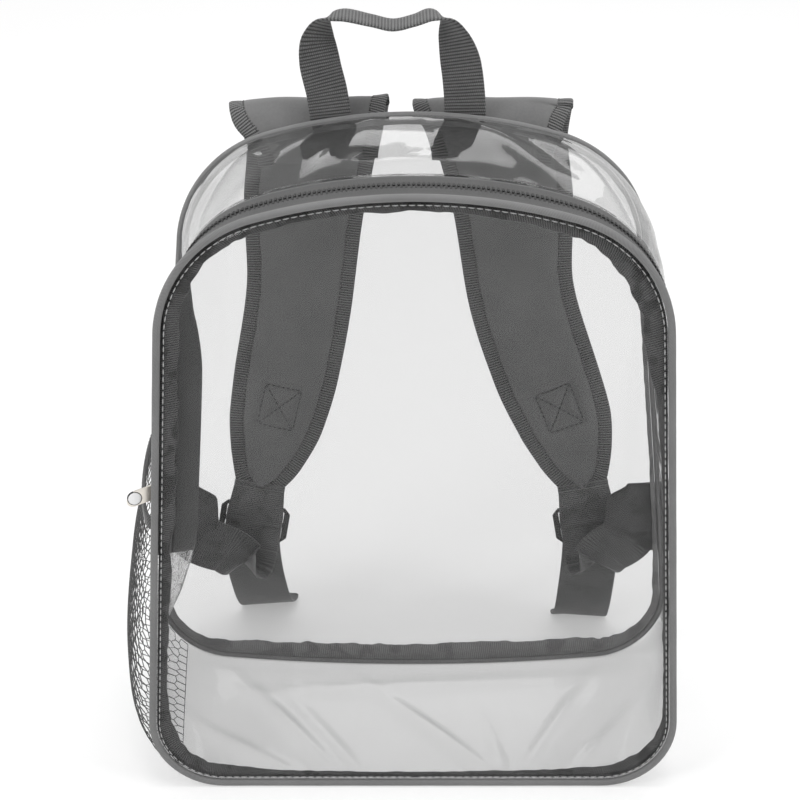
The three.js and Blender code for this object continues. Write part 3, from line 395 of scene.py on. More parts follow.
@dataclass(frozen=True)
class Stitching:
    """Thread stitches along a line.

    Attributes:
        stitch: Length of one stitch.
        pause: Gap to the next.
        thread: Thickness of the thread.
    """

    stitch: float = 3.0 * MM
    pause: float = 1.0 * MM
    thread: float = 0.55 * MM

    def row(self, name: str, line: Sequence[np.ndarray], up: Sequence[np.ndarray]) -> bpy.types.Object:
        """Lays one row of stitches.

        Args:
            name: The row's name.
            line: Points on the cloth's face along the row.
            up: The way out of the cloth at each point.

        Returns:
            The row of stitches as one object.
        """
        line, up = np.asarray(line, float), np.asarray(up, float)
        runs = np.concatenate(([0.0], np.cumsum(np.linalg.norm(np.diff(line, axis=0), axis=1))))

        def read(values: np.ndarray, run: float) -> np.ndarray:
            return np.array([np.interp(run, runs, values[:, axis]) for axis in range(3)])

        corners, faces = [], []
        start = self.pause
        while start + self.stitch < runs[-1]:
            first = len(corners)
            for share, size, sink in ((0.0, 0.55, 0.5), (0.5, 1.0, 0.0), (1.0, 0.55, 0.5)):
                run = start + share * self.stitch
                here, out = read(line, run), unit(read(up, run))
                along = unit(read(line, run + 1e-4) - read(line, run - 1e-4))
                side = unit(np.cross(along, out)) * self.thread * size / 2
                rise = out * self.thread * size / 2
                base = here - out * self.thread * sink
                corners += [base - side, base + rise * 1.2, base + side, base - rise]
            for ring in (first, first + 4):
                for i in range(4):
                    j = (i + 1) % 4
                    faces.append((ring + i, ring + j, ring + 4 + j, ring + 4 + i))
            faces.append((first, first + 1, first + 2, first + 3))
            faces.append((first + 8, first + 9, first + 10, first + 11))
            start += self.stitch + self.pause
        return object_of(name, corners, faces)


# Finishes


class Nodes:
    """A material's node tree, with short calls for the nodes that the finishes share."""

    def __init__(self, name: str) -> None:
        """Starts an empty material.

        Args:
            name: The material's name.
        """
        self.material = bpy.data.materials.new(name)
        self.material.use_nodes = True
        self.tree = self.material.node_tree
        self.tree.nodes.clear()
        self.output = self.add("ShaderNodeOutputMaterial")

    def add(self, kind: str, **inputs: object) -> bpy.types.Node:
        """Adds a node.

        Args:
            kind: The node's type.
            **inputs: Values or sockets by input name, with underscores for spaces; names that
                aren't inputs set the node's own properties.

        Returns:
            The node.
        """
        node = self.tree.nodes.new(kind)
        for name, value in inputs.items():
            if hasattr(node, name) and name not in node.inputs:
                setattr(node, name, value)
        for name, value in inputs.items():
            title = name.replace("_", " ")
            socket = node.inputs.get(title) or node.inputs.get(name)
            if socket is None:
                continue
            self.feed(socket, value)
        return node

    def feed(self, socket: bpy.types.NodeSocket, value: object) -> None:
        """Sets an input's value, or links it to another node's output."""
        if isinstance(value, bpy.types.NodeSocket):
            self.tree.links.new(value, socket)
        else:
            socket.default_value = value

    def math(self, operation: str, first: object, second: object = 0.0) -> bpy.types.NodeSocket:
        """One step of arithmetic on values or sockets."""
        node = self.tree.nodes.new("ShaderNodeMath")
        node.operation = operation
        self.feed(node.inputs[0], first)
        self.feed(node.inputs[1], second)
        return node.outputs[0]

    def tint(self, share: object, dark: Sequence[float], light: Sequence[float]) -> bpy.types.NodeSocket:
        """A colour a share of the way from a dark to a light one."""
        node = self.tree.nodes.new("ShaderNodeMix")
        node.data_type = "RGBA"
        self.feed(node.inputs["Factor"], share)
        for socket, colour in ((node.inputs[6], dark), (node.inputs[7], light)):
            socket.default_value = (*colour, 1.0)
        return node.outputs[2]

    def place(self) -> bpy.types.NodeSocket:
        """The place on the object in the frame's metres."""
        return self.add("ShaderNodeTexCoord").outputs["Object"]

    def weave(self) -> tuple[bpy.types.NodeSocket, bpy.types.NodeSocket]:
        """The place on the cloth in metres, along it and across it."""
        source = self.tree.nodes.new("ShaderNodeUVMap")
        source.uv_map = WEAVE_MAP
        split = self.add("ShaderNodeSeparateXYZ", Vector=source.outputs[0])
        return split.outputs[0], split.outputs[1]

    def cloud(self, size: float, detail: float = 3.0, roughness: float = 0.55) -> bpy.types.NodeSocket:
        """Noise from 0 to 1 with features of a size in metres."""
        return self.add(
            "ShaderNodeTexNoise",
            Vector=self.place(),
            Scale=1 / size,
            Detail=detail,
            Roughness=roughness,
        ).outputs[0]

    def wave(self, run: object, pitch: float) -> bpy.types.NodeSocket:
        """A smooth wave from 0 to 1 along a run, one for each pitch."""
        turn = self.math("MULTIPLY", run, 2 * math.pi / pitch)
        half = self.math("MULTIPLY", self.math("SINE", turn), 0.5)
        return self.math("ADD", half, 0.5)

    def bump(self, height: object, depth: float, strength: float = 1.0) -> bpy.types.NodeSocket:
        """A normal from a height between 0 and 1 that stands for a depth in metres."""
        return self.add("ShaderNodeBump", Height=height, Distance=depth, Strength=strength).outputs[0]

    def finish(self, shader: bpy.types.NodeSocket) -> bpy.types.Material:
        """Links the surface and gives the material."""
        self.tree.links.new(shader, self.output.inputs["Surface"])
        return self.material


class Weave(Enum):
    """How a cloth is woven, as its surface shows."""

    PLAIN = "plain"
    TWILL = "twill"
    RIBBED = "ribbed"
    GROSGRAIN = "grosgrain"
    BRUSHED = "brushed"


@dataclass(frozen=True)
class ClothFinish:
    """A woven or brushed cloth.

    Attributes:
        name: The material's name.
        weave: How it is woven.
        dark: Its colour in the hollows between the threads, darker there as painted shade.
        light: Its colour on the threads, lighter there as the lit side of that painted shade.
        pitch: Distance between its ribs or threads.
        relief: Depth of its threads.
        mottle: How strongly its colour wanders over a few centimetres.
        sheen: Strength of its fibres' soft edge light.
        wet: How strongly it darkens in patches where clear sheet clings to it.
    """

    name: str
    weave: Weave
    dark: tuple[float, float, float]
    light: tuple[float, float, float]
    pitch: float
    relief: float
    mottle: float = 0.25
    sheen: float = 0.2
    wet: float = 0.0

    def _threads(self, nodes: Nodes) -> bpy.types.NodeSocket:
        """The height of the threads, from 0 to 1, which also sets the painted shade in the colour."""
        along, across = nodes.weave()
        if self.weave is Weave.BRUSHED:
            fibres = nodes.cloud(self.pitch, 6.0, 0.7)
            return nodes.math("ADD", nodes.math("MULTIPLY", fibres, 0.4), 0.3)
        if self.weave is Weave.TWILL:
            run = nodes.math("ADD", along, nodes.math("MULTIPLY", across, 0.6))
            lines = nodes.wave(run, self.pitch)
            grain = nodes.wave(nodes.math("SUBTRACT", across, along), self.pitch * 0.7)
            return nodes.math("ADD", nodes.math("MULTIPLY", lines, 0.75), nodes.math("MULTIPLY", grain, 0.25))
        ribs = nodes.wave(along, self.pitch)
        if self.weave is Weave.GROSGRAIN:
            grain = nodes.wave(across, self.pitch * 0.8)
            return nodes.math("ADD", nodes.math("MULTIPLY", ribs, 0.8), nodes.math("MULTIPLY", grain, 0.2))
        row = nodes.math("MULTIPLY", nodes.math("FLOOR", nodes.math("DIVIDE", along, self.pitch)), 0.5)
        shifted = nodes.math("ADD", across, nodes.math("MULTIPLY", row, self.pitch * 0.62))
        loops = nodes.wave(shifted, self.pitch * 0.62)
        return nodes.math("MULTIPLY", nodes.math("POWER", ribs, 0.7), nodes.math("ADD", nodes.math("MULTIPLY", loops, 0.6), 0.4))

    def make(self) -> bpy.types.Material:
        """Builds the material.

        Returns:
            The material.
        """
        nodes = Nodes(self.name)
        threads = self._threads(nodes)
        patches = nodes.math("SUBTRACT", nodes.cloud(0.03, 4.0), 0.5)
        specks = nodes.math("SUBTRACT", nodes.cloud(0.0016, 2.0), 0.5)
        wander = nodes.math("ADD", nodes.math("MULTIPLY", patches, 2 * self.mottle), nodes.math("MULTIPLY", specks, self.mottle))
        # Painted shade: the colour follows the threads' height, darker in the hollows between them and lighter on
        # their crowns; the mottling added to it is tone that differs at random.
        share = nodes.math("ADD", threads, wander)
        clinging = nodes.math("MULTIPLY", nodes.math("SUBTRACT", nodes.cloud(0.016, 2.0), 0.52), 14.0)
        held = nodes.math("MINIMUM", nodes.math("MAXIMUM", clinging, 0.0), 1.0)
        patch = nodes.math("MULTIPLY", held, self.wet)
        colour = nodes.tint(nodes.math("SUBTRACT", share, patch), self.dark, self.light)
        height = nodes.math("ADD", threads, nodes.math("MULTIPLY", specks, 0.2))
        dull = nodes.math("ADD", nodes.math("MULTIPLY", threads, -0.12), 0.86)
        roughness = nodes.math("SUBTRACT", dull, nodes.math("MULTIPLY", patch, 0.7))
        shader = nodes.add(
            "ShaderNodeBsdfPrincipled",
            Base_Color=colour,
            Roughness=roughness,
            Normal=nodes.bump(height, self.relief),
            Sheen_Weight=self.sheen,
            Sheen_Roughness=0.5,
            Specular_IOR_Level=0.25,
        )
        return nodes.finish(shader.outputs[0])


@dataclass(frozen=True)
class VinylFinish:
    """Clear soft vinyl sheet: it lets light straight through, mirrors, and greys at its folds.

    Attributes:
        name: The material's name.
        clear: What one face lets through where it is seen straight on.
        folded: What it lets through where it is seen along its face.
        mirror: What one face mirrors where it is seen straight on.
        haze: Share of its faint milky bloom.
        wave: Depth of its finest waves.
    """

    name: str
    clear: float = 0.93
    folded: float = 0.8
    mirror: float = 0.012
    haze: float = 0.004
    wave: float = 0.6 * MM

    def make(self) -> bpy.types.Material:
        """Builds the material.

        Returns:
            The material.
        """
        nodes = Nodes(self.name)
        long_waves = nodes.cloud(0.05, 1.0, 0.4)
        short_waves = nodes.cloud(0.014, 1.5, 0.4)
        height = nodes.math("ADD", long_waves, nodes.math("MULTIPLY", short_waves, 0.2))
        normal = nodes.bump(height, self.wave)
        facing = nodes.add("ShaderNodeLayerWeight", Blend=0.5, Normal=normal).outputs["Facing"]
        steep = nodes.math("POWER", facing, 2.6)
        through = nodes.tint(steep, (self.clear,) * 3, (self.folded,) * 3)
        clear = nodes.add("ShaderNodeBsdfTransparent", Color=through)
        mirror = nodes.add("ShaderNodeBsdfGlossy", Roughness=0.02, Normal=normal)
        edge = nodes.math("MULTIPLY", nodes.math("POWER", facing, 5.0), 0.9)
        film = nodes.add("ShaderNodeMixShader", Fac=nodes.math("ADD", edge, self.mirror))
        nodes.feed(film.inputs[1], clear.outputs[0])
        nodes.feed(film.inputs[2], mirror.outputs[0])
        bloom = nodes.add("ShaderNodeBsdfTranslucent", Color=(*grey(0.9), 1.0))
        patches = nodes.math("MULTIPLY", nodes.cloud(0.08, 3.0), 2 * self.haze)
        whole = nodes.add("ShaderNodeMixShader", Fac=patches)
        nodes.feed(whole.inputs[1], film.outputs[0])
        nodes.feed(whole.inputs[2], bloom.outputs[0])
        return nodes.finish(whole.outputs[0])


@dataclass(frozen=True)
class HardFinish:
    """Plated metal or moulded plastic.

    Attributes:
        name: The material's name.
        colour: Its colour.
        roughness: Its mean roughness.
        metal: 1 for metal and 0 for plastic.
        scuff: How far small scuffs roughen it.
        grain: Depth of its surface grain.
    """

    name: str
    colour: tuple[float, float, float]
    roughness: float
    metal: float = 0.0
    scuff: float = 0.12
    grain: float = 0.02 * MM

    def make(self) -> bpy.types.Material:
        """Builds the material.

        Returns:
            The material.
        """
        nodes = Nodes(self.name)
        scuffs = nodes.cloud(0.004, 5.0, 0.7)
        grain = nodes.cloud(0.0006, 3.0)
        pale = tuple(min(1.0, value * 1.18) for value in self.colour)
        dark = tuple(value * 0.86 for value in self.colour)
        shader = nodes.add(
            "ShaderNodeBsdfPrincipled",
            Base_Color=nodes.tint(scuffs, dark, pale),
            Metallic=self.metal,
            Roughness=nodes.math("ADD", nodes.math("MULTIPLY", scuffs, self.scuff), self.roughness),
            Normal=nodes.bump(grain, self.grain),
        )
        return nodes.finish(shader.outputs[0])


@dataclass(frozen=True)
class YarnFinish:
    """Knitted net yarn or sewing thread: round, with a fine twist.

    Attributes:
        name: The material's name.
        dark: Its colour in the twist.
        light: Its colour on the fibres.
    """

    name: str
    dark: tuple[float, float, float]
    light: tuple[float, float, float]

    def make(self) -> bpy.types.Material:
        """Builds the material.

        Returns:
            The material.
        """
        nodes = Nodes(self.name)
        twist = nodes.cloud(0.0007, 3.0, 0.7)
        shader = nodes.add(
            "ShaderNodeBsdfPrincipled",
            Base_Color=nodes.tint(twist, self.dark, self.light),
            Roughness=0.62,
            Normal=nodes.bump(twist, 0.15 * MM),
            Sheen_Weight=0.2,
        )
        return nodes.finish(shader.outputs[0])


def grey(value: float) -> tuple[float, float, float]:
    """A neutral grey."""
    return (value, value, value)


class Finishes:
    """Every finish of the bag, made once and shared by its pieces."""

    def __init__(self) -> None:
        """Builds the materials."""
        self.sheet = VinylFinish("clear_vinyl").make()
        self.piping = ClothFinish("piping_cloth", Weave.TWILL, grey(0.125), grey(0.25), 0.9 * MM, 0.10 * MM).make()
        self.twill = ClothFinish("seam_twill", Weave.TWILL, grey(0.03), grey(0.15), 1.4 * MM, 0.2 * MM, 0.4, 0.2, 0.6).make()
        self.rear_twill = ClothFinish("rear_seam_twill", Weave.TWILL, grey(0.1), grey(0.24), 1.4 * MM, 0.2 * MM, 0.4, 0.2, 0.5).make()
        self.zip_tape = ClothFinish("zip_tape", Weave.TWILL, grey(0.05), grey(0.12), 0.8 * MM, 0.12 * MM).make()
        self.webbing = ClothFinish("ribbed_webbing", Weave.RIBBED, grey(0.04), grey(0.21), 2.0 * MM, 0.5 * MM).make()
        self.strap_webbing = ClothFinish("strap_webbing", Weave.GROSGRAIN, grey(0.06), grey(0.15), 1.3 * MM, 0.12 * MM, 0.35, 0.3, 0.5).make()
        self.pad = ClothFinish("brushed_pad_cloth", Weave.BRUSHED, grey(0.11), grey(0.19), 0.45 * MM, 0.04 * MM, 0.45, 0.3).make()
        self.edge_tape = ClothFinish("ribbed_edge_tape", Weave.GROSGRAIN, grey(0.015), grey(0.2), 1.7 * MM, 0.4 * MM).make()
        self.coil = HardFinish("nylon_coil", grey(0.035), 0.4).make()
        self.silver = HardFinish("plated_silver", (0.74, 0.7, 0.64), 0.24, 1.0).make()
        # Painted reflection: near-white finish for the pull tab's disc, standing in for the shine of its shallow
        # round dimple.
        self.pearl = HardFinish("pearl_disc", grey(0.86), 0.18, 0.2).make()
        self.lock = HardFinish("moulded_lock", grey(0.03), 0.5, 0.0, 0.15, 0.05 * MM).make()
        self.net = YarnFinish("net_yarn", grey(0.02), grey(0.09)).make()
        self.thread = YarnFinish("sewing_thread", grey(0.3), grey(0.6)).make()
        # Real sewing thread, and painted shade: its nearly black rows along the pads' tape also stand in for the
        # groove shadow at the tape's inner edge.
        self.dark_thread = YarnFinish("dark_thread", grey(0.012), grey(0.035)).make()


@dataclass
class Dresser:
    """Puts finished pieces on their bodies and remembers their names."""

    finishes: Finishes
    pieces: list[str] = field(default_factory=list)

    def dress(
        self,
        piece: bpy.types.Object,
        finish: bpy.types.Material,
        slot: Slot,
        stands_for: Sequence[str] = (),
        body: str = "bag",
    ) -> bpy.types.Object:
        """Gives a piece its finish and body.

        Args:
            piece: The finished piece.
            finish: Its material.
            slot: The record's slot for the piece; not used.
            stands_for: The frame's nodes that it replaces.
            body: The body that it moves with.

        Returns:
            The piece.
        """
        piece.data.materials.clear()
        piece.data.materials.append(finish)
        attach(piece, body)
        if stands_for:
            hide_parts(*stands_for)
        self.pieces.append(piece.name)
        log.info("dressed %s", piece.name)
        return piece


# The bag's body


@dataclass(frozen=True)
class SeamPoint:
    """A place on the seams: both seams' points there and the frame between them."""

    side: Side
    share: float
    run: float
    front: np.ndarray
    rear: np.ndarray
    out: np.ndarray
    depth: float
    back: np.ndarray

    def on(self, seam: Seam) -> np.ndarray:
        """The point on one of the seams."""
        return self.front if seam is Seam.FRONT else self.rear


ZIP_HANG = {
    Side.LEFT: Table(
        "share",
        (
            {"share": 0.0, "lean": 14, "rear": 0.8},
            {"share": 0.11, "lean": 14, "rear": 0.8},
            {"share": 0.2, "lean": 0, "rear": 0.9},
            {"share": 0.27, "lean": -48, "rear": 1.3},
            {"share": 0.34, "lean": -76, "rear": 1.6},
            {"share": 0.5, "lean": -74, "rear": 1.5},
            {"share": 0.56, "lean": -50, "rear": 1.2},
            {"share": 0.66, "lean": 0, "rear": 1},
            {"share": 1.0, "lean": 0, "rear": 0.8},
        ),
    ),
    Side.RIGHT: Table(
        "share",
        (
            {"share": 0.0, "lean": 14, "rear": 0.8},
            {"share": 0.11, "lean": 14, "rear": 0.8},
            {"share": 0.2, "lean": 6, "rear": 0.8},
            {"share": 0.3, "lean": 1, "rear": 0.8},
            {"share": 0.46, "lean": 5, "rear": 0.8},
            {"share": 0.66, "lean": 2, "rear": 0.8},
            {"share": 1.0, "lean": 0, "rear": 0.8},
        ),
    ),
}


@dataclass
class BagShape:
    """Sizes of the bag's body, and the seams, gusset and panels that follow from them."""

    width: float = 322 * MM
    height: float = 381 * MM
    depth: float = 150 * MM
    side_lean: float = 22 * MM
    top_radius: float = 320 * MM
    shoulder_radius: float = 75 * MM
    base_radius: float = 42 * MM
    piping_radius: float = 2.25 * MM
    sheet: float = 1.2 * MM
    gap: float = 0.3 * MM
    panel_bulge: float = 3 * MM
    top_bulge: float = 7 * MM
    side_bulge: float = 1.5 * MM
    rear_shift: float = 0 * MM
    rear_flare: float = 12 * MM
    rear_bow_in: float = 10 * MM
    rear_bow_out: float = 18 * MM
    zip_end_height: float = 160 * MM
    coil_end_height: float = 184 * MM
    tape_width: float = 8 * MM
    coil_width: float = 5.4 * MM
    curl: float = 8 * MM
    panel_middle: float = 0.46

    def __post_init__(self) -> None:
        """Works out the outline's arcs and lines."""
        self.half_width = self.width / 2
        self.seam_edge = self.piping_radius + self.gap
        self.tilt = math.atan2(self.side_lean, self.height)
        self.coil_from = self.seam_edge + self.tape_width + self.gap
        self.coil_to = self.coil_from + self.coil_width
        self.under_sag = self.piping_radius - self.sheet / 2
        self.sag_edge = 5 * self.piping_radius
        self._outline()

    def _outline(self) -> None:
        """Finds the centres and lengths of one half of the seam."""
        normal = np.array((math.cos(self.tilt), math.sin(self.tilt)))
        along = np.array((-math.sin(self.tilt), math.cos(self.tilt)))
        top_centre = np.array((0.0, self.height - self.top_radius))
        start = np.array((self.half_width, 0.0)) - normal * self.shoulder_radius - top_centre
        half = float(start @ along)
        inner = self.top_radius - self.shoulder_radius
        run = math.sqrt(half * half - float(start @ start) + inner * inner) - half
        shoulder = start + along * run + top_centre
        top_angle = math.atan2(shoulder[0] - top_centre[0], shoulder[1] - top_centre[1])
        side_angle = math.pi / 2 - self.tilt
        base_x = self.half_width - self.base_radius * (1 + math.sin(self.tilt)) / math.cos(self.tilt)
        base = np.array((base_x, self.base_radius))
        side_top = shoulder + normal * self.shoulder_radius
        side_end = base + normal * self.base_radius
        down = np.array((0.0, -1.0))
        self.pieces = (
            self._arc(top_centre, self.top_radius, 0.0, top_angle),
            self._arc(shoulder, self.shoulder_radius, top_angle, side_angle),
            self._line(side_top, side_end, normal),
            self._arc(base, self.base_radius, side_angle, math.pi),
            self._line(np.array((base_x, 0.0)), np.array((0.0, 0.0)), down),
        )
        lengths = [piece[0] for piece in self.pieces]
        self.side_start = lengths[0] + lengths[1]
        self.corner_start = self.side_start + lengths[2]
        self.corner_length = lengths[3]
        self.base_start = self.corner_start + lengths[3]
        self.half_seam = sum(lengths)
        self.side_top_height = float(side_top[1])
        self.zip_end = self.distance_at_height(self.zip_end_height)
        self.coil_end = self.distance_at_height(self.coil_end_height)

    @staticmethod
    def _arc(centre: np.ndarray, radius: float, start: float, end: float) -> tuple[float, Callable]:
        """A round stretch of the outline: its length, and its point and outward way at a distance."""

        def at(distance: float) -> tuple[np.ndarray, np.ndarray]:
            angle = start + distance / radius
            out = np.array((math.sin(angle), math.cos(angle)))
            return centre + radius * out, out

        return radius * (end - start), at

    @staticmethod
    def _line(start: np.ndarray, end: np.ndarray, out: np.ndarray) -> tuple[float, Callable]:
        """A straight stretch of the outline, as for a round one."""
        length = float(np.linalg.norm(end - start))
        return length, lambda distance: (start + (end - start) * distance / length, out)

    def distance_at_height(self, height: float) -> float:
        """The distance along the seam at which the side has a height."""
        return self.side_start + (self.side_top_height + self.piping_radius - height) / math.cos(self.tilt)

    def seam_at(self, distance: float) -> SeamPoint:
        """Finds a place on the seams.

        Args:
            distance: From the top's middle, positive down the right side, negative down the left.

        Returns:
            The seams' points and the frame between them.
        """
        side = Side.LEFT if distance < 0 else Side.RIGHT
        rest = min(abs(distance), self.half_seam)
        chosen = self.pieces[-1]
        for piece in self.pieces:
            chosen = piece
            if rest <= piece[0] + 1e-9 or piece is self.pieces[-1]:
                break
            rest -= piece[0]
        place, out = chosen[1](rest)
        x, z = side.value * place[0], place[1]
        fall = math.cos(math.pi / 2 * clamped(z / self.height)) ** 2
        across = x / self.half_width
        front = spot(x, -self.depth / 2, z + self.piping_radius)
        rear = spot(
            x + fall * (self.rear_shift + self.rear_flare * across),
            self.depth / 2 + fall**3 * (self.rear_bow_out * across**2 - self.rear_bow_in),
            front[2],
        )
        return SeamPoint(
            side=side,
            share=abs(distance) / self.half_seam,
            run=distance,
            front=front,
            rear=rear,
            out=spot(side.value * out[0], 0.0, out[1]),
            depth=float(np.linalg.norm(rear - front)),
            back=unit(rear - front),
        )

    def round_trip(self, step: float = 5 * MM) -> list[SeamPoint]:
        """Places all the way round the seam, from the bottom's middle up the left side."""
        count = int(2 * self.half_seam / step)
        return [self.seam_at(-self.half_seam + 2 * self.half_seam * i / count) for i in range(count)]

    def stretch(self, start: float, end: float, step: float = 5 * MM) -> list[SeamPoint]:
        """Places along the seam from one distance to another."""
        count = max(2, int(abs(end - start) / step))
        return [self.seam_at(start + (end - start) * i / count) for i in range(count + 1)]

    def reach(self, seam: SeamPoint) -> float:
        """How far the zip strip reaches over the gusset."""
        return self.coil_to + self.gap + ZIP_HANG[seam.side].at("rear", seam.share) * self.tape_width

    def under(self, seam: SeamPoint) -> float:
        """How far a section belongs to the flat underside."""
        return max(0.0, -seam.out[2]) ** 4

    def section(self, seam: SeamPoint, place: float) -> tuple[float, float]:
        """The gusset's depth and rise; places 0 to 1 cross the zip strip and 1 to 2 the clear wall."""
        lean = math.radians(ZIP_HANG[seam.side].at("lean", seam.share))
        walk = clamped(place) * self.reach(seam)
        curved, straight = min(walk, self.curl), max(walk - self.curl, 0.0)
        turned = lean * curved / self.curl
        radius = self.curl / lean if abs(lean) > 1e-4 else 0.0
        depth = (radius * math.sin(turned) if radius else curved) + straight * math.cos(lean)
        rise = radius * (1 - math.cos(turned)) + straight * math.sin(lean)
        under = self.under(seam)
        over = max(0.0, seam.out[2]) ** 2
        share = clamped(place - 1)
        wall = mixed(depth, seam.depth, share)
        bulge = mixed(self.side_bulge, self.top_bulge, over) * (1 - under)
        edge = clamped(min(wall, seam.depth - wall) / self.sag_edge)
        return wall, mixed(rise, 0.0, share) + bulge * math.sin(math.pi * share) + under * self.under_sag * edge

    def gusset_point(self, seam: SeamPoint, place: float, offset: float = 0.0) -> np.ndarray:
        """A point of the gusset, out from the middle of its wall."""
        step = 0.004
        if place <= 1:
            low, high = max(0.0, place - step), min(1.0, place + step)
        else:
            low, high = max(1 + 1e-6, place - step), min(2.0, place + step)
        start, end = self.section(seam, low), self.section(seam, high)
        run = unit(np.array((end[0] - start[0], end[1] - start[1])))
        depth, rise = self.section(seam, place)
        return seam.front + seam.back * (depth - run[1] * offset) + seam.out * (rise + run[0] * offset)

    def wall_place(self, seam: SeamPoint, distance: float, from_end: bool = False) -> float:
        """The place on the clear wall at a distance from its start, or before its end."""
        depth, rise = self.section(seam, 1.0)
        length = math.hypot(seam.depth - depth, rise)
        return 2 - distance / length if from_end else 1 + distance / length

    def panel_point(self, which: Seam, seam: SeamPoint, share: float) -> np.ndarray:
        """A point of a panel, on its edge drawn in to a share of its size."""
        facing = which.value
        centre = spot(0.0, 0.0, self.height * self.panel_middle)
        edge = seam.on(which) - seam.out * self.seam_edge
        place = (edge - centre) * share + centre
        flat = mixed(facing * self.depth / 2, edge[1], share * share)
        place[1] = flat + facing * self.panel_bulge * (1 - share * share)
        return place


@dataclass
class ClearSheets:
    """The four clear vinyl sheets: two panels, the top gusset and the base gusset."""

    shape: BagShape
    panel_rings: int = 30
    wall_steps: int = 26
    front_ripples: tuple[Ripple, ...] = (
        Ripple(-0.105, 0.055, 70, 0.060, 0.012, 1.2 * MM),
        Ripple(0.120, 0.075, 100, 0.080, 0.012, 1.1 * MM),
        Ripple(0.060, 0.035, 150, 0.050, 0.010, 0.8 * MM),
        Ripple(-0.060, 0.030, 30, 0.050, 0.010, 0.8 * MM),
        Ripple(-0.125, 0.250, 85, 0.080, 0.010, 1.0 * MM),
        Ripple(0.128, 0.255, 95, 0.060, 0.012, 1.0 * MM),
    )
    rear_ripples: tuple[Ripple, ...] = (
        Ripple(0.000, 0.180, 90, 0.120, 0.050, 0.7 * MM),
        Ripple(-0.090, 0.110, 60, 0.050, 0.015, 0.6 * MM),
        Ripple(0.110, 0.100, 120, 0.050, 0.015, 0.6 * MM),
    )
    top_ripples: tuple[Ripple, ...] = (
        Ripple(-0.072, 0.070, 62, 0.050, 0.009, 2.6 * MM),
        Ripple(-0.052, 0.075, 74, 0.045, 0.007, -2.0 * MM),
        Ripple(-0.030, 0.095, 82, 0.040, 0.008, 1.6 * MM),
        Ripple(0.036, 0.085, 100, 0.040, 0.008, 1.6 * MM),
        Ripple(0.058, 0.070, 118, 0.048, 0.008, 2.4 * MM),
        Ripple(0.078, 0.080, 124, 0.045, 0.007, -2.0 * MM),
        Ripple(0.105, 0.060, 112, 0.050, 0.009, 1.6 * MM),
        Ripple(-0.112, 0.060, 66, 0.050, 0.010, 1.6 * MM),
        Ripple(-0.155, 0.075, 80, 0.050, 0.012, 1.8 * MM),
        Ripple(0.150, 0.075, 100, 0.050, 0.012, 1.8 * MM),
        Ripple(0.000, 0.040, 4, 0.060, 0.010, 0.9 * MM),
        Ripple(-0.260, 0.070, 5, 0.070, 0.012, 1.2 * MM),
        Ripple(0.250, 0.075, 175, 0.080, 0.012, 1.2 * MM),
    )
    base_ripples: tuple[Ripple, ...] = (
        Ripple(-0.075, -0.020, 122, 0.062, 0.006, -5.0 * MM),
        Ripple(-0.052, -0.030, 118, 0.050, 0.005, -3.2 * MM),
        Ripple(0.092, -0.015, 66, 0.060, 0.006, -4.6 * MM),
        Ripple(0.015, -0.020, 128, 0.058, 0.005, -3.6 * MM),
        Ripple(0.050, -0.030, 100, 0.045, 0.005, -2.6 * MM),
        Ripple(-0.105, -0.040, 140, 0.040, 0.006, -3.0 * MM),
        Ripple(0.120, -0.035, 60, 0.040, 0.006, -3.0 * MM),
        Ripple(0.000, 0.035, 5, 0.110, 0.008, -1.6 * MM),
    )

    def panel(self, which: Seam, dresser: Dresser) -> None:
        """Builds a panel that fills a seam, with its soft waves."""
        shape = self.shape
        ripples = self.front_ripples if which is Seam.FRONT else self.rear_ripples
        size = 1.0 if which is Seam.FRONT else 0.45
        seams = shape.round_trip()
        rings = []
        for k in range(self.panel_rings):
            share = 1 - 0.98 * k / (self.panel_rings - 1)
            ring = []
            for seam in seams:
                place = shape.panel_point(which, seam, share)
                calm = clamped((1 - share) / 0.12)
                wave = swirl(place, 0.09, 3.1) * 0.9 * MM * size + lifted(ripples, place[0], place[2])
                ring.append(place + spot(0.0, which.value * calm * wave, 0.0))
            rings.append(ring)
        sheet = Loft(np.array(rings), capped=False).build(f"{which.word}_sheet")
        self._close_middle(sheet, len(seams), self.panel_rings)
        self._dress(sheet, dresser, f"{which.word}_panel")

    @staticmethod
    def _close_middle(sheet: bpy.types.Object, size: int, rings: int) -> None:
        """Closes the small round left in the middle of a panel."""
        tidy = bmesh.new()
        tidy.from_mesh(sheet.data)
        tidy.verts.ensure_lookup_table()
        inner = [tidy.verts[(rings - 1) * size + i] for i in range(size)]
        face = tidy.faces.new(inner)
        face.smooth = True
        bmesh.ops.recalc_face_normals(tidy, faces=tidy.faces)
        tidy.to_mesh(sheet.data)
        tidy.free()

    def _dress(self, sheet: bpy.types.Object, dresser: Dresser, node: str) -> None:
        """Gives a sheet its wall and its finish."""
        thickened(sheet, 0.6 * self.shape.sheet)
        dresser.dress(sheet, dresser.finishes.sheet, Slot.SHEET, [node])

    def top(self, dresser: Dresser) -> None:
        """Builds the clear band over the arch, behind the zip."""
        shape = self.shape
        seams = shape.stretch(-(shape.zip_end - shape.gap), shape.zip_end - shape.gap, 3.5 * MM)
        rings = []
        for seam in seams:
            start = shape.wall_place(seam, shape.sheet / 2 + shape.gap)
            end = shape.wall_place(seam, shape.seam_edge, True)
            rings.append(self._strip(seam, start, end, self.top_ripples, seam.run, 5.3))
        sheet = Loft(np.array(rings), loop_round=False, capped=False).build("top_sheet")
        self._dress(sheet, dresser, "top_gusset")

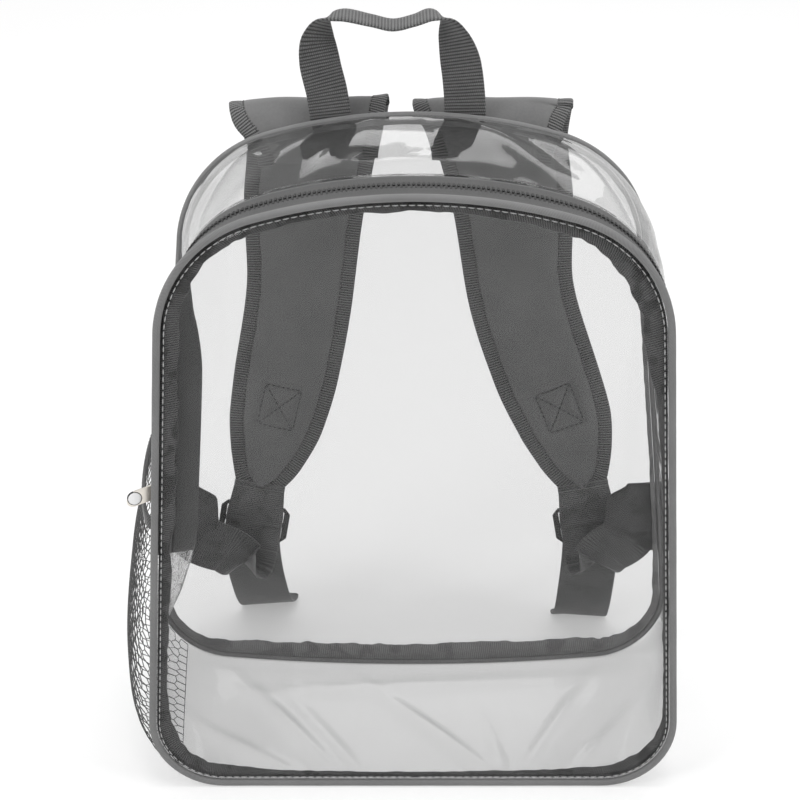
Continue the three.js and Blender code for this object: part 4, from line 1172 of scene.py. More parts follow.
    def _strip(
        self,
        seam: SeamPoint,
        start: float,
        end: float,
        ripples: Sequence[Ripple],
        across: float,
        seed: float,
    ) -> list[np.ndarray]:
        """One section of a gusset sheet between two places, with its waves."""
        shape = self.shape
        points = []
        for i in range(self.wall_steps + 1):
            share = i / self.wall_steps
            place = mixed(start, end, share)
            plain = shape.gusset_point(seam, place)
            depth, _ = shape.section(seam, place)
            calm = clamped(min(share, 1 - share) / 0.12)
            fine = swirl(plain, 0.017, 2 * seed) * 0.45 * MM
            wave = swirl(plain, 0.05, seed) * 0.9 * MM + fine + lifted(ripples, across, depth)
            points.append(shape.gusset_point(seam, place, calm * wave))
        return points

    def base(self, dresser: Dresser) -> None:
        """Builds the clear band of both lower sides and the bottom, in one piece."""
        shape = self.shape
        reach = 2 * shape.half_seam - shape.zip_end
        rings = []
        for seam in self._base_sections(reach):
            start = shape.seam_edge / shape.reach(seam)
            end = shape.wall_place(seam, shape.seam_edge, True)
            under = shape.under(seam)
            points = []
            places = [mixed(start, 1.0, i / 8) for i in range(8)]
            places += [mixed(1.0, end, i / self.wall_steps) for i in range(self.wall_steps + 1)]
            for place in places:
                plain = shape.gusset_point(seam, place)
                depth = float((plain - seam.front) @ seam.back)
                calm = clamped(min(depth, seam.depth - depth) / (14 * MM)) ** 2
                side_wave = swirl(plain, 0.06, 8.7) * 1.0 * MM * (1 - under)
                fold = under * lifted(self.base_ripples, plain[0], plain[1])
                lift = side_wave + fold - under * 0.25 * MM
                points.append(shape.gusset_point(seam, place, calm * lift))
            rings.append(points)
        sheet = Loft(np.array(rings), loop_round=False, capped=False).build("base_sheet")
        self._dress(sheet, dresser, "base_gusset")

    def _base_sections(self, reach: float) -> list[SeamPoint]:
        """Places from the right zip end down, under the bag and up to the left zip end."""
        shape = self.shape
        total = reach - shape.zip_end
        count = int(total / (3.5 * MM))
        sections = []
        for i in range(count + 1):
            run = shape.zip_end + total * i / count
            sections.append(shape.seam_at(run if run <= shape.half_seam else run - 2 * shape.half_seam))
        return sections

    def build(self, dresser: Dresser) -> None:
        """Builds all four sheets."""
        for which in Seam:
            self.panel(which, dresser)
        self.top(dresser)
        self.base(dresser)


@dataclass(frozen=True)
class TapeWidths:
    """Widths of the seam tape inside, as shares of its full width, along each half of a seam."""

    left: Table
    right: Table

    def at(self, seam: SeamPoint) -> float:
        """The tape's share of its full width at a place."""
        table = self.left if seam.side is Side.LEFT else self.right
        return table.at("width", seam.share)


TAPE_WIDTHS = {
    Seam.FRONT: TapeWidths(
        Table(
            "share",
            (
                {"share": 0.0, "width": 0.6},
                {"share": 0.14, "width": 0.6},
                {"share": 0.25, "width": 0.9},
                {"share": 0.4, "width": 1.0},
                {"share": 0.55, "width": 0.7},
                {"share": 0.66, "width": 0.6},
                {"share": 0.74, "width": 1.15},
                {"share": 0.82, "width": 0.9},
                {"share": 0.88, "width": 0.5},
                {"share": 1.0, "width": 0.4},
            ),
        ),
        Table(
            "share",
            (
                {"share": 0.0, "width": 0.6},
                {"share": 0.15, "width": 0.8},
                {"share": 0.22, "width": 1.3},
                {"share": 0.3, "width": 1.25},
                {"share": 0.36, "width": 0.6},
                {"share": 0.46, "width": 0.32},
                {"share": 0.68, "width": 0.35},
                {"share": 0.77, "width": 0.95},
                {"share": 0.86, "width": 0.6},
                {"share": 1.0, "width": 0.4},
            ),
        ),
    ),
    Seam.REAR: TapeWidths(
        Table(
            "share",
            (
                {"share": 0.0, "width": 0.3},
                {"share": 0.6, "width": 0.3},
                {"share": 0.74, "width": 0.5},
                {"share": 0.84, "width": 1.0},
                {"share": 1.0, "width": 1.05},
            ),
        ),
        Table(
            "share",
            (
                {"share": 0.0, "width": 0.3},
                {"share": 0.6, "width": 0.28},
                {"share": 0.74, "width": 0.6},
                {"share": 0.84, "width": 1.1},
                {"share": 1.0, "width": 1.05},
            ),
        ),
    ),
}


@dataclass
class PipedSeams:
    """Piping, its stitches and the twill tape inside, round both seams."""

    shape: BagShape
    sides: int = 14
    tape_width: float = 10 * MM
    tape_thickness: float = 1 * MM

    def piping(self, which: Seam, dresser: Dresser) -> None:
        """Builds the cloth-covered cord of a seam."""
        shape = self.shape
        rings = []
        for seam in shape.round_trip(4 * MM):
            middle = seam.on(which)
            radius = shape.piping_radius * (1 + 0.04 * swirl(middle, 0.012, 1.7) - 0.02)
            ring = []
            for i in range(self.sides):
                angle = 2 * math.pi * i / self.sides
                ring.append(middle + seam.out * radius * math.cos(angle) + spot(0, radius * math.sin(angle), 0))
            rings.append(ring)
        cord = Loft(np.array(rings), loop_along=True).build(f"{which.word}_seam_cord")
        dresser.dress(cord, dresser.finishes.piping, Slot.PIPING, [f"{which.word}_piping"])

    def stitches(self, which: Seam, dresser: Dresser) -> None:
        """Lays the stitch line just inside a seam's cord."""
        shape = self.shape
        inset = 1.6 * MM
        line, up = [], []
        for seam in shape.round_trip(4 * MM):
            edge = shape.panel_point(which, seam, 1.0)
            line.append(edge - seam.out * inset + spot(0, which.value * 0.55 * shape.sheet, 0))
            up.append(spot(0, which.value, 0))
        row = Stitching(3.4 * MM, 1.2 * MM, 0.75 * MM).row(f"{which.word}_seam_stitches", line, up)
        dresser.dress(row, dresser.finishes.thread, Slot.PIPING)

    def binding(self, which: Seam, dresser: Dresser) -> None:
        """Builds the twill tape over a seam's allowance, with an uneven inner edge."""
        shape = self.shape
        near = shape.sheet / 2 + 2 * shape.gap
        inwards = -which.value
        rings = []
        for seam in shape.round_trip(2.5 * MM):
            edge = shape.panel_point(which, seam, 1.0)
            within = shape.panel_point(which, seam, 0.78)
            slope = (within[1] - edge[1]) / float((edge - within) @ seam.out)
            wander = 1 + 0.14 * swirl(edge, 0.02, 4.4) + 0.14 * swirl(edge, 0.006, 9.1)
            width = self.tape_width * TAPE_WIDTHS[which].at(seam) * wander
            ring = []
            for inset, depth in self._section(width):
                ring.append(
                    seam.on(which)
                    - seam.out * (shape.seam_edge + inset)
                    + spot(0, slope * inset + inwards * (near + depth), 0)
                )
            rings.append(ring)
        tape = Loft(np.array(rings), loop_along=True).build(f"{which.word}_seam_tape")
        finish = dresser.finishes.twill if which is Seam.FRONT else dresser.finishes.rear_twill
        dresser.dress(tape, finish, Slot.TWILL, [f"{which.word}_binding"])

    def _section(self, width: float) -> list[tuple[float, float]]:
        """The tape's cut: inset and depth of each corner, folded over a soft inner edge."""
        thick = self.tape_thickness
        return [
            (0.0, 0.0),
            (0.0, thick),
            (0.5 * width, 1.1 * thick),
            (width - 0.6 * thick, 1.1 * thick),
            (width, 0.55 * thick),
            (width - 0.6 * thick, 0.0),
            (0.5 * width, 0.0),
        ]

    def build(self, dresser: Dresser) -> None:
        """Builds both seams."""
        for which in Seam:
            self.piping(which, dresser)
            self.binding(which, dresser)
            self.stitches(which, dresser)


@dataclass
class Zip:
    """The zip over the arch: two woven tapes, the nylon coil, and the slider with its pull tab."""

    shape: BagShape
    tape_thickness: float = 0.9 * MM
    tooth_pitch: float = 1.35 * MM
    tooth_height: float = 1.5 * MM

    def _band(self, name: str, places: Callable[[SeamPoint], Sequence[float]], end: float) -> bpy.types.Object:
        """A band of the strip over the arch, through its places across."""
        seams = self.shape.stretch(-end, end, 4 * MM)
        rings = [[self.shape.gusset_point(seam, place) for place in places(seam)] for seam in seams]
        return Loft(np.array(rings), loop_round=False, capped=False).build(name)

    def tapes(self, dresser: Dresser) -> None:
        """Builds the front and the rear tape."""
        shape = self.shape
        end = shape.zip_end - shape.gap
        middle = (shape.coil_from + shape.coil_to) / 2

        def front(seam: SeamPoint) -> list[float]:
            reach = shape.reach(seam)
            return [mixed(shape.seam_edge, middle, i / 6) / reach for i in range(7)]

        def rear(seam: SeamPoint) -> list[float]:
            start = middle / shape.reach(seam)
            return [mixed(start, 1.0, i / 6) for i in range(7)]

        for name, places, node in (
            ("zip_tape_front", front, "zipper_tape_front"),
            ("zip_tape_rear", rear, "zipper_tape_rear"),
        ):
            tape = thickened(self._band(name, places, end), self.tape_thickness)
            dresser.dress(tape, dresser.finishes.zip_tape, Slot.ZIP_TAPE, [node])

    def coil(self, dresser: Dresser) -> None:
        """Builds the coil as two rows of meshing teeth on their core tape."""
        shape = self.shape
        teeth, faces = [], []
        count = int(2 * shape.coil_end / self.tooth_pitch)
        middle = (shape.coil_from + shape.coil_to) / 2
        half = shape.coil_width / 2
        for k in range(count):
            run = -shape.coil_end + self.tooth_pitch * (k + 0.5)
            ahead = shape.seam_at(run + self.tooth_pitch * 0.36)
            behind = shape.seam_at(run - self.tooth_pitch * 0.36)
            sign = 1 if k % 2 else -1
            spread = [(sign * half, 0.42), (sign * half * 0.5, 1.0), (-sign * half * 0.3, 0.85)]
            first = len(teeth)
            for aside, high in spread:
                rise = self.tooth_height * high
                for seam in (behind, ahead):
                    place = (middle + aside) / shape.reach(seam)
                    teeth.append(shape.gusset_point(seam, place, rise))
                    teeth.append(shape.gusset_point(seam, place, -rise * 0.8))
            for ring in (first, first + 4):
                for a, b in ((0, 1), (1, 3), (3, 2), (2, 0)):
                    faces.append((ring + a, ring + b, ring + 4 + b, ring + 4 + a))
            faces.append((first, first + 1, first + 3, first + 2))
            faces.append((first + 8, first + 9, first + 11, first + 10))
        coil = object_of("zip_teeth", teeth, faces, smooth=False)
        dresser.dress(coil, dresser.finishes.coil, Slot.COIL, ["zipper_coil"])

    def hard_parts(self, frame: dict, dresser: Dresser) -> None:
        """Rounds the slider's and the pull tab's edges and adds the tab's raised rim."""
        slider = softened(frame["nodes"]["zip_slider"], "slider_body", 0.35 * MM)
        dresser.dress(slider, dresser.finishes.silver, Slot.SILVER, ["zip_slider"])
        tab = softened(frame["nodes"]["zip_pull"], "pull_tab", 0.22 * MM)
        dresser.dress(tab, dresser.finishes.silver, Slot.SILVER, ["zip_pull"], body="pull")
        self._tab_discs(tab, slider, dresser)

    @staticmethod
    def _tab_discs(tab: bpy.types.Object, slider: bpy.types.Object, dresser: Dresser) -> None:
        """Sets a bright disc in a dark rim on both faces of the tab's round end; the bright disc is painted
        reflection, standing in for the shine of a shallow round dimple.
        """
        corners = np.array([corner.co for corner in tab.data.vertices])
        hook = np.mean([corner.co for corner in slider.data.vertices], axis=0)
        middle = corners.mean(axis=0)
        thin, across, along = np.linalg.svd(corners - middle)[2][::-1]
        along = along * np.sign((middle - hook) @ along)
        runs, sides, rises = ((corners - middle) @ way for way in (along, across, thin))
        radius = float(np.ptp(sides)) / 2
        centre = middle + along * (runs.max() - radius) + across * (sides.max() + sides.min()) / 2
        # The disc's near-white finish is painted reflection of the dimple's shine.
        for name, finish, share, rise in (
            ("tab_rim", dresser.finishes.coil, 0.86, 0.1 * MM),
            ("tab_disc", dresser.finishes.pearl, 0.76, 0.22 * MM),
        ):
            half = float(np.ptp(rises)) / 2 + rise
            rings = []
            for level, size in ((-half, 0.94), (-half * 0.9, 1.0), (half * 0.9, 1.0), (half, 0.94)):
                turns = [2 * math.pi * i / 32 for i in range(32)]
                spoke = radius * share * size
                rings.append(
                    [centre + thin * level + spoke * (along * math.cos(t) + across * math.sin(t)) for t in turns]
                )
            disc = Loft(np.array(rings)).build(name)
            dresser.dress(disc, finish, Slot.SILVER, body="pull")

    def build(self, frame: dict, dresser: Dresser) -> None:
        """Builds the whole zip."""
        self.tapes(dresser)
        self.coil(dresser)
        self.hard_parts(frame, dresser)


def softened(node: bpy.types.Object, name: str, width: float) -> bpy.types.Object:
    """Copies a hard solid with its flat faces joined and its edges rounded.

    Args:
        node: The frame's solid.
        name: The copy's name.
        width: Width of the rounding.

    Returns:
        The copy.
    """
    copy = bmesh.new()
    copy.from_mesh(node.data)
    bmesh.ops.remove_doubles(copy, verts=copy.verts, dist=1e-6)
    bmesh.ops.dissolve_limit(copy, angle_limit=math.radians(2), verts=copy.verts, edges=copy.edges)
    mesh = bpy.data.meshes.new(name)
    copy.to_mesh(mesh)
    copy.free()
    made = bpy.data.objects.new(name, mesh)
    bpy.context.scene.collection.objects.link(made)
    modified(made, "BEVEL", width=width, segments=3, limit_method="ANGLE", angle_limit=math.radians(30))
    mesh.polygons.foreach_set("use_smooth", [True] * len(mesh.polygons))
    modified(made, "WEIGHTED_NORMAL", keep_sharp=False)
    return made


# Net pocket


POCKET_SWELL = Table(
    "up",
    (
        {"up": 0.0, "swell": 0.04},
        {"up": 0.09, "swell": 0.5},
        {"up": 0.22, "swell": 0.88},
        {"up": 0.42, "swell": 1.0},
        {"up": 0.75, "swell": 0.84},
        {"up": 1.06, "swell": 0.5},
    ),
)


@dataclass
class NetPocket:
    """The knitted net pocket on the left side and its elastic hem."""

    shape: BagShape
    top_height: float = 178 * MM
    bottom_turn: float = 0.62
    bulge: float = 17 * MM
    hem_height: float = 8 * MM
    hem_thickness: float = 2 * MM
    cell_across: float = 9 * MM
    cell_up: float = 6.2 * MM
    yarn: float = 0.65 * MM
    wander: float = 0.24

    def __post_init__(self) -> None:
        """Finds where the pocket starts and ends along the seam."""
        self.top = self.shape.distance_at_height(self.top_height)
        self.bottom = self.shape.corner_start + self.bottom_turn * self.shape.corner_length

    def point(self, across: float, up: float, offset: float = 0.0) -> np.ndarray:
        """A point of the pocket: across from the front to the rear seam, and up over the net."""
        shape = self.shape
        seam = shape.seam_at(-mixed(self.bottom, self.top, up))
        clear = shape.sheet / 2 + shape.gap + self.hem_thickness / 2
        swell = POCKET_SWELL.at("swell", up) * self.bulge
        depth = mixed(shape.seam_edge, seam.depth - shape.seam_edge, across)
        rounded = math.sin(math.pi * clamped(across)) ** 0.5
        rise = clear + shape.under(seam) * shape.under_sag + swell * rounded
        return seam.front + seam.back * depth + seam.out * (rise + offset)

    def net(self, dresser: Dresser) -> None:
        """Knits the net: six-sided cells with a wandering outline, as round yarn."""
        shape = self.shape
        columns = int(shape.depth * 1.08 / self.cell_across)
        rows = int((self.bottom - self.top) / (self.cell_up * 0.86))
        stops = 2 * columns
        corners: dict[tuple[int, int], int] = {}
        points: list[np.ndarray] = []

        def corner(k: int, j: int) -> int:
            key = (k, j)
            if key not in corners:
                inner = 0 < j < rows and 0 < k < stops
                turn = 1 if (k + j) % 2 == 0 else -1
                seed = Vector((k * 0.73, j * 0.91, 0.5))
                drift = noise.noise_vector(seed) if inner else Vector((0, 0, 0))
                across = (k + self.wander * 2.2 * drift[0]) / stops
                up = (j + (turn / 6 if inner else 0) + self.wander * 1.3 * drift[1]) / rows
                corners[key] = len(points)
                points.append(self.point(clamped(across), up))
            return corners[key]

        faces = []
        for j in range(rows):
            for k in range(j % 2, stops - 1, 2):
                ring = [(k, j), (k + 1, j), (k + 2, j), (k + 2, j + 1), (k + 1, j + 1), (k, j + 1)]
                faces.append([corner(*place) for place in ring])
        net = object_of("side_net", points, faces, smooth=True)
        modified(net, "WIREFRAME", thickness=self.yarn, use_even_offset=False, use_boundary=True)
        dresser.dress(net, dresser.finishes.net, Slot.NET, ["mesh_pocket"])

    def hem(self, dresser: Dresser) -> None:
        """Builds the gathered elastic hem along the top edge."""
        length = self.bottom - self.top
        low = 1 + self.shape.gap / length
        high = low + self.hem_height / length
        half = self.hem_thickness / 2
        rings = []
        count = 90
        for i in range(count + 1):
            across = i / count
            gather = 0.22 * MM * math.sin(across * 2 * math.pi * 30)
            section = [(low, 0.7), (0.5 * (low + high), 1.0), (high, 0.7), (high, -0.7), (0.5 * (low + high), -0.9), (low, -0.7)]
            rings.append([self.point(across, up, share * half + gather * (share > 0)) for up, share in section])
        hem = Loft(np.array(rings)).build("net_hem")
        dresser.dress(hem, dresser.finishes.twill, Slot.TWILL, ["pocket_hem"])

    def build(self, dresser: Dresser) -> None:
        """Builds the net and its hem."""
        self.net(dresser)
        self.hem(dresser)


# Webbing


@dataclass
class Station:
    """A cut across a band: its middle, its width direction and size, and its layers."""

    centre: np.ndarray
    wide: np.ndarray
    width: float
    layers: float = 1.0


@dataclass
class Band:
    """Flat webbing along stations, with rounded edges."""

    stations: Sequence[Station]
    thickness: float
    waviness: float = 0.0

    SECTION = ((1.0, 0.35), (0.94, 0.95), (0.5, 1.0), (0.0, 1.0), (-0.5, 1.0), (-0.94, 0.95), (-1.0, 0.35))

    def frames(self) -> list[tuple[np.ndarray, np.ndarray, np.ndarray]]:
        """Each station's directions: along the band, across it and out of it."""
        frames = []
        last = len(self.stations) - 1
        for index, station in enumerate(self.stations):
            before = self.stations[max(index - 1, 0)].centre
            after = self.stations[min(index + 1, last)].centre
            along = unit(after - before)
            wide = unit(station.wide - along * float(station.wide @ along))
            frames.append((along, wide, unit(np.cross(along, wide))))
        return frames

    def build(self, name: str) -> bpy.types.Object:
        """Makes the band."""
        section = [*self.SECTION, *((across, -out) for across, out in reversed(self.SECTION))]
        rings = []
        for station, (_, wide, normal) in zip(self.stations, self.frames()):
            ring = []
            for across, out in section:
                place = station.centre + wide * across * station.width / 2
                curl = self.waviness * swirl(place, 0.03, 6.6) * abs(across)
                ring.append(place + normal * (out * station.layers * self.thickness / 2 + curl))
            rings.append(ring)
        return Loft(np.array(rings)).build(name)


def smooth_stations(rows: Sequence[Station], count: int) -> list[Station]:
    """Stations along a smooth curve through rows.

    Args:
        rows: The rows that the curve passes through.
        count: How many steps the curve gets.

    Returns:
        The stations, one more than the steps.
    """
    path = SmoothPath([row.centre for row in rows])
    made = []
    for i in range(count + 1):
        place = i / count * (len(rows) - 1)
        index = min(int(place), len(rows) - 2)
        share = place - index
        low, high = rows[index], rows[index + 1]
        made.append(
            Station(
                path.by_row(place),
                low.wide + (high.wide - low.wide) * share,
                mixed(low.width, high.width, share),
                mixed(low.layers, high.layers, share),
            )
        )
    return made


HANDLE_ROWS = (
    {"left": 1.0, "right": 0.96, "up": 0.0, "back": 0.0, "turn": 0.0},
    {"left": 1.06, "right": 0.94, "up": 0.3, "back": 0.0, "turn": 0.05},
    {"left": 1.16, "right": 0.88, "up": 0.58, "back": 0.02, "turn": 0.15},
    {"left": 1.18, "right": 0.78, "up": 0.8, "back": 0.05, "turn": 0.42},
    {"left": 1.06, "right": 0.64, "up": 0.96, "back": 0.1, "turn": 0.72},
    {"left": 0.84, "right": 0.46, "up": 1.0, "back": 0.1, "turn": 0.9},
    {"left": 0.42, "right": 0.2, "up": 0.95, "back": 0.1, "turn": 1.0},
    {"left": 0.1, "right": -0.1, "up": 0.91, "back": 0.1, "turn": 1.0},
)


@dataclass
class GrabHandle:
    """The webbing loop sewn into the top of the rear seam."""

    shape: BagShape
    webbing: float = 25 * MM
    thickness: float = 1.8 * MM
    spacing: float = 83 * MM
    shift: float = -8 * MM
    rise: float = 60 * MM
    sewn: float = 8 * MM

    def _rows(self, side: Side) -> list[Station]:
        """One half of the handle, from its sewn end to its middle."""
        shape = self.shape
        behind = shape.depth / 2 + shape.seam_edge + self.thickness / 2
        foot = shape.height + shape.piping_radius - self.sewn
        rows = []
        for row in HANDLE_ROWS:
            angle = row["turn"] * math.pi / 2
            centre = spot(
                self.shift + side.value * row[side.word] * self.spacing / 2,
                behind + row["back"] * self.webbing,
                foot + row["up"] * (self.rise + self.sewn),
            )
            rows.append(Station(centre, spot(-side.value * math.cos(angle), math.sin(angle), 0), self.webbing))
        return rows

    def build(self, dresser: Dresser) -> None:
        """Builds the handle."""
        rows = self._rows(Side.LEFT) + self._rows(Side.RIGHT)[:-1][::-1]
        band = Band(smooth_stations(rows, 130), self.thickness, 0.5 * MM).build("handle_webbing")
        dresser.dress(band, dresser.finishes.webbing, Slot.WEBBING, ["grab_handle"])


# Shoulder straps


PAD_ROWS = (
    {"back": 0.075, "up": 0.918, "left": -0.36, "right": 0.3, "width": 0.92, "thick": 0.3},
    {"back": 0.2, "up": 0.968, "left": -0.37, "right": 0.305, "width": 1.06, "thick": 0.5},
    {"back": 0.5, "up": 1.0, "left": -0.395, "right": 0.305, "width": 1.24, "thick": 0.7},
    {"back": 0.82, "up": 0.975, "left": -0.395, "right": 0.325, "width": 1.2, "thick": 0.8},
    {"back": 0.97, "up": 0.9, "left": -0.4, "right": 0.36, "width": 1.02, "thick": 0.95},
    {"back": 1.0, "up": 0.81, "left": -0.43, "right": 0.4, "width": 0.97, "thick": 1.0},
    {"back": 0.96, "up": 0.65, "left": -0.455, "right": 0.44, "width": 0.87, "thick": 1.0},
    {"back": 0.86, "up": 0.515, "left": -0.51, "right": 0.54, "width": 0.86, "thick": 1.0},
    {"back": 0.74, "up": 0.42, "left": -0.56, "right": 0.63, "width": 0.79, "thick": 0.95},
    {"back": 0.66, "up": 0.355, "left": -0.6, "right": 0.68, "width": 0.63, "thick": 0.85},
    {"back": 0.6, "up": 0.31, "left": -0.63, "right": 0.71, "width": 0.44, "thick": 0.7},
    {"back": 0.57, "up": 0.286, "left": -0.64, "right": 0.72, "width": 0.3, "thick": 0.6},
)

LOWER_ROWS = (
    {"over": 0.62, "down": 0.8, "back": 0.16, "turn": 0.5},
    {"over": 0.9, "down": 1.0, "back": 0.52, "turn": 0.15},
)

TAIL_ROWS = (
    {"down": 0.22, "back": 0.06, "over": 0.06, "turn": 0.0},
    {"down": 0.55, "back": 0.25, "over": 0.3, "turn": 0.0},
    {"down": 0.86, "back": 0.52, "over": 0.6, "turn": 0.0},
    {"down": 0.975, "back": 0.72, "over": 0.8, "turn": 0.3},
    {"down": 1.0, "back": 0.88, "over": 0.92, "turn": 0.8},
    {"down": 1.0, "back": 1.0, "over": 1.0, "turn": 1.0},
)


@dataclass(frozen=True)
class TailLay:
    """How a free tail lies: its reach back, its drift sideways and its turn on the floor."""

    reach: float
    drift: float
    turn: float


TAIL_LAY = {
    Side.LEFT: TailLay(56 * MM, 9 * MM, 0.6),
    Side.RIGHT: TailLay(34 * MM, -4 * MM, -0.4),
}


@dataclass
class StrapPlace:
    """A place along a strap: its middle, its directions, and its pad's half width and thickness."""

    centre: np.ndarray
    along: np.ndarray
    wide: np.ndarray
    normal: np.ndarray
    half: float
    thick: float

    def point(self, across: float, offset: float, down: float = 0.0) -> np.ndarray:
        """A point across the strap, out of its plane and down along it."""
        return self.centre + self.wide * across + self.normal * offset + self.along * down


@dataclass
class ShoulderStrap:
    """One shoulder strap: pad, edge tape, stitching, loop, lock, webbing and side tab."""

    shape: BagShape
    side: Side
    pad_width: float = 80 * MM
    pad_thickness: float = 10 * MM
    pad_edge: float = 2.6 * MM
    room: float = 46 * MM
    tape: float = 10.5 * MM
    pad_inset: float = 0.9
    webbing: float = 38 * MM
    thickness: float = 1.6 * MM
    loop_width: float = 34 * MM
    loop_free: float = 9 * MM
    loop_sewn: float = 8 * MM
    lock_bar: float = 2.6 * MM
    lock_clear: float = 3.5 * MM
    lower_drop: float = 46 * MM
    lower_tilt: float = math.radians(35)
    tab_height: float = 52 * MM
    tab_length: float = 36 * MM
    tab_thickness: float = 2 * MM
    tab_up: float = 104 * MM
    hem_layers: float = 2.0
    edge_steps: int = 110

    def __post_init__(self) -> None:
        """Works out the strap's centre line and its pad's outline."""
        shape = self.shape
        self.path = SmoothPath(
            [
                spot(
                    row[self.side.word] * shape.half_width,
                    shape.depth / 2 + row["back"] * self.room,
                    row["up"] * shape.height + shape.piping_radius,
                )
                for row in PAD_ROWS
            ]
        )
        rows = tuple({**row, "run": self.path.row_run(i)} for i, row in enumerate(PAD_ROWS))
        self.table = Table("run", rows)
        self.length = self.path.length
        self.lock_turn = self.lock_bar * math.sqrt(0.5) + shape.gap + self.thickness / 2
        self.lock_pitch = 2 * self.lock_turn + self.thickness + self.lock_clear
        self.outer_edge = self._edge(0.0)

    def at(self, run: float) -> StrapPlace:
        """The place at a length along the pad."""
        along = self.path.along(clamped(run, 0.0, self.length))
        normal = unit(np.cross(spot(1, 0, 0), along))
        return StrapPlace(
            centre=self.path.at(run),
            along=along,
            wide=unit(np.cross(along, normal)),
            normal=normal,
            half=self.table.at("width", run) * self.pad_width / 2,
            thick=self.table.at("thick", run) * self.pad_thickness,
        )

    def _edge(self, inset: float, count: int = 110) -> np.ndarray:
        """The flat outline's edge, drawn in: length along and half width."""
        edge = np.array([(run, self.at(run).half) for run in np.linspace(0, self.length, count + 1)])
        drawn = []
        for index, place in enumerate(edge):
            before, after = edge[max(index - 1, 0)], edge[min(index + 1, count)]
            slope = unit(after - before)
            inwards = np.array((slope[1], -slope[0]))
            if index == 0:
                inwards = np.array((0.0, -1.0))
            if index == count:
                inwards = np.array((inwards[0] - 1, inwards[1])) / (1 + abs(slope[1]))
            drawn.append(place + inwards * inset)
        return np.array(drawn)

    def _crown(self, share: float, thick: float) -> float:
        """The pad's half thickness at a share of the way to its edge."""
        edge = self.pad_edge / 2
        return edge + (thick / 2 - edge) * (1 - abs(share) ** 3.2) ** 0.8

    def pad(self, dresser: Dresser) -> None:
        """Builds the crowned foam pad, puckered along its stitched edges."""
        steps = 40
        shares = [-math.cos(math.pi * i / steps) for i in range(steps + 1)]
        rings = []
        for run, half in self._edge(self.tape * self.pad_inset, 2 * self.edge_steps):
            place = self.at(run)
            thick = max(place.thick, self.pad_edge)
            taper = clamped((self.length - run) / (16 * MM)) ** 0.5
            faces: dict[int, list[np.ndarray]] = {1: [], -1: []}
            for share in shares:
                near_edge = math.exp(-(((1 - abs(share)) * half / (7 * MM)) ** 2))
                pucker = 0.28 * MM * near_edge * math.sin(run / (4.2 * MM) + 2 * share)
                for face in (1, -1):
                    sunk = self._quilted(run, share * half)
                    plain = place.point(share * half, face * (self._crown(share, thick) - sunk))
                    soft = 0.7 * MM * swirl(plain, 0.028, 2.2 + face) * (1 - abs(share) ** 4) * taper
                    faces[face].append(plain + place.normal * face * (soft + pucker))
            rings.append(faces[1] + faces[-1][::-1])
        pad = Loft(np.array(rings)).build(f"pad_{self.side.word}")
        dresser.dress(pad, dresser.finishes.pad, Slot.PAD, [f"strap_pad_{self.side.word}"])

    def edge_tape(self, dresser: Dresser) -> None:
        """Builds the ribbed tape folded over the pad's edges and its lower end."""
        inner = self._edge(self.tape)
        rings = []
        indices = list(range(self.edge_steps + 1))
        for sign, order in ((-1, indices), (1, indices[::-1])):
            for index in order:
                out, into = self.outer_edge[index], inner[index]
                ring = []
                for share, height in self._fold():
                    run, half = into + (out - into) * share
                    place = self.at(clamped(run, 0.0, self.length))
                    beyond = max(run - self.length, 0.0)
                    ring.append(place.point(sign * half, height * self.pad_edge / 2, beyond))
                rings.append(ring)
        tape = Loft(np.array(rings)).build(f"edge_tape_{self.side.word}")
        dresser.dress(tape, dresser.finishes.edge_tape, Slot.EDGE_TAPE, [f"strap_binding_{self.side.word}"])

    @staticmethod
    def _fold() -> list[tuple[float, float]]:
        """The tape's cut: share of the way out, and height as a share of its half thickness."""
        return [
            (0.0, 0.75),
            (0.12, 1.15),
            (0.5, 1.25),
            (0.86, 1.1),
            (0.97, 0.7),
            (1.0, 0.0),
            (0.97, -0.7),
            (0.86, -1.1),
            (0.5, -1.25),
            (0.12, -1.15),
            (0.0, -0.75),
        ]

    def stitching(self, dresser: Dresser) -> None:
        """Lays the stitch rows along the tape, which also serve as painted shade for the groove at its inner edge,
        and the box with a cross near the pad's lower end.
        """
        rows = []
        inset = self._edge(self.tape * 0.84)
        for face in (1, -1):
            for sign in (-1, 1):
                line, up = [], []
                for run, half in inset[:-1]:
                    place = self.at(run)
                    line.append(place.point(sign * half, face * self.pad_edge * 0.62))
                    up.append(place.normal * face)
                # Painted shade: thick, almost gapless, very dark rows that also stand in for the shadow in the
                # groove at the tape's inner edge.
                rows.append(Stitching(2.8 * MM, 0.5 * MM, 0.8 * MM).row("row", line, up))
        for face in (1, -1):
            rows += self._boxed_cross(face)
        thread = joined(f"pad_stitches_{self.side.word}", rows)
        dresser.dress(thread, dresser.finishes.dark_thread, Slot.EDGE_TAPE)

    def _box_lines(self) -> list[tuple[tuple[float, float], tuple[float, float]]]:
        """The stitched box and its cross, as lines from and to a length along and a place across."""
        high, low = self.length - 77 * MM, self.length - 49 * MM
        wide = 12 * MM
        turns = [(high, -wide), (high, wide), (low, wide), (low, -wide), (high, -wide), (low, wide)]
        return [*zip(turns, turns[1:]), ((low, -wide), (high, wide))]

    def _quilted(self, run: float, across: float) -> float:
        """How deep the box's stitches pull the pad in at a place."""
        place = np.array((run, across))
        nearest = 1.0
        for start, end in self._box_lines():
            first, way = np.array(start), np.subtract(end, start)
            share = clamped(float((place - first) @ way) / float(way @ way))
            nearest = min(nearest, float(np.linalg.norm(place - first - way * share)))
        return 1.9 * MM * math.exp(-((nearest / (2.8 * MM)) ** 2))

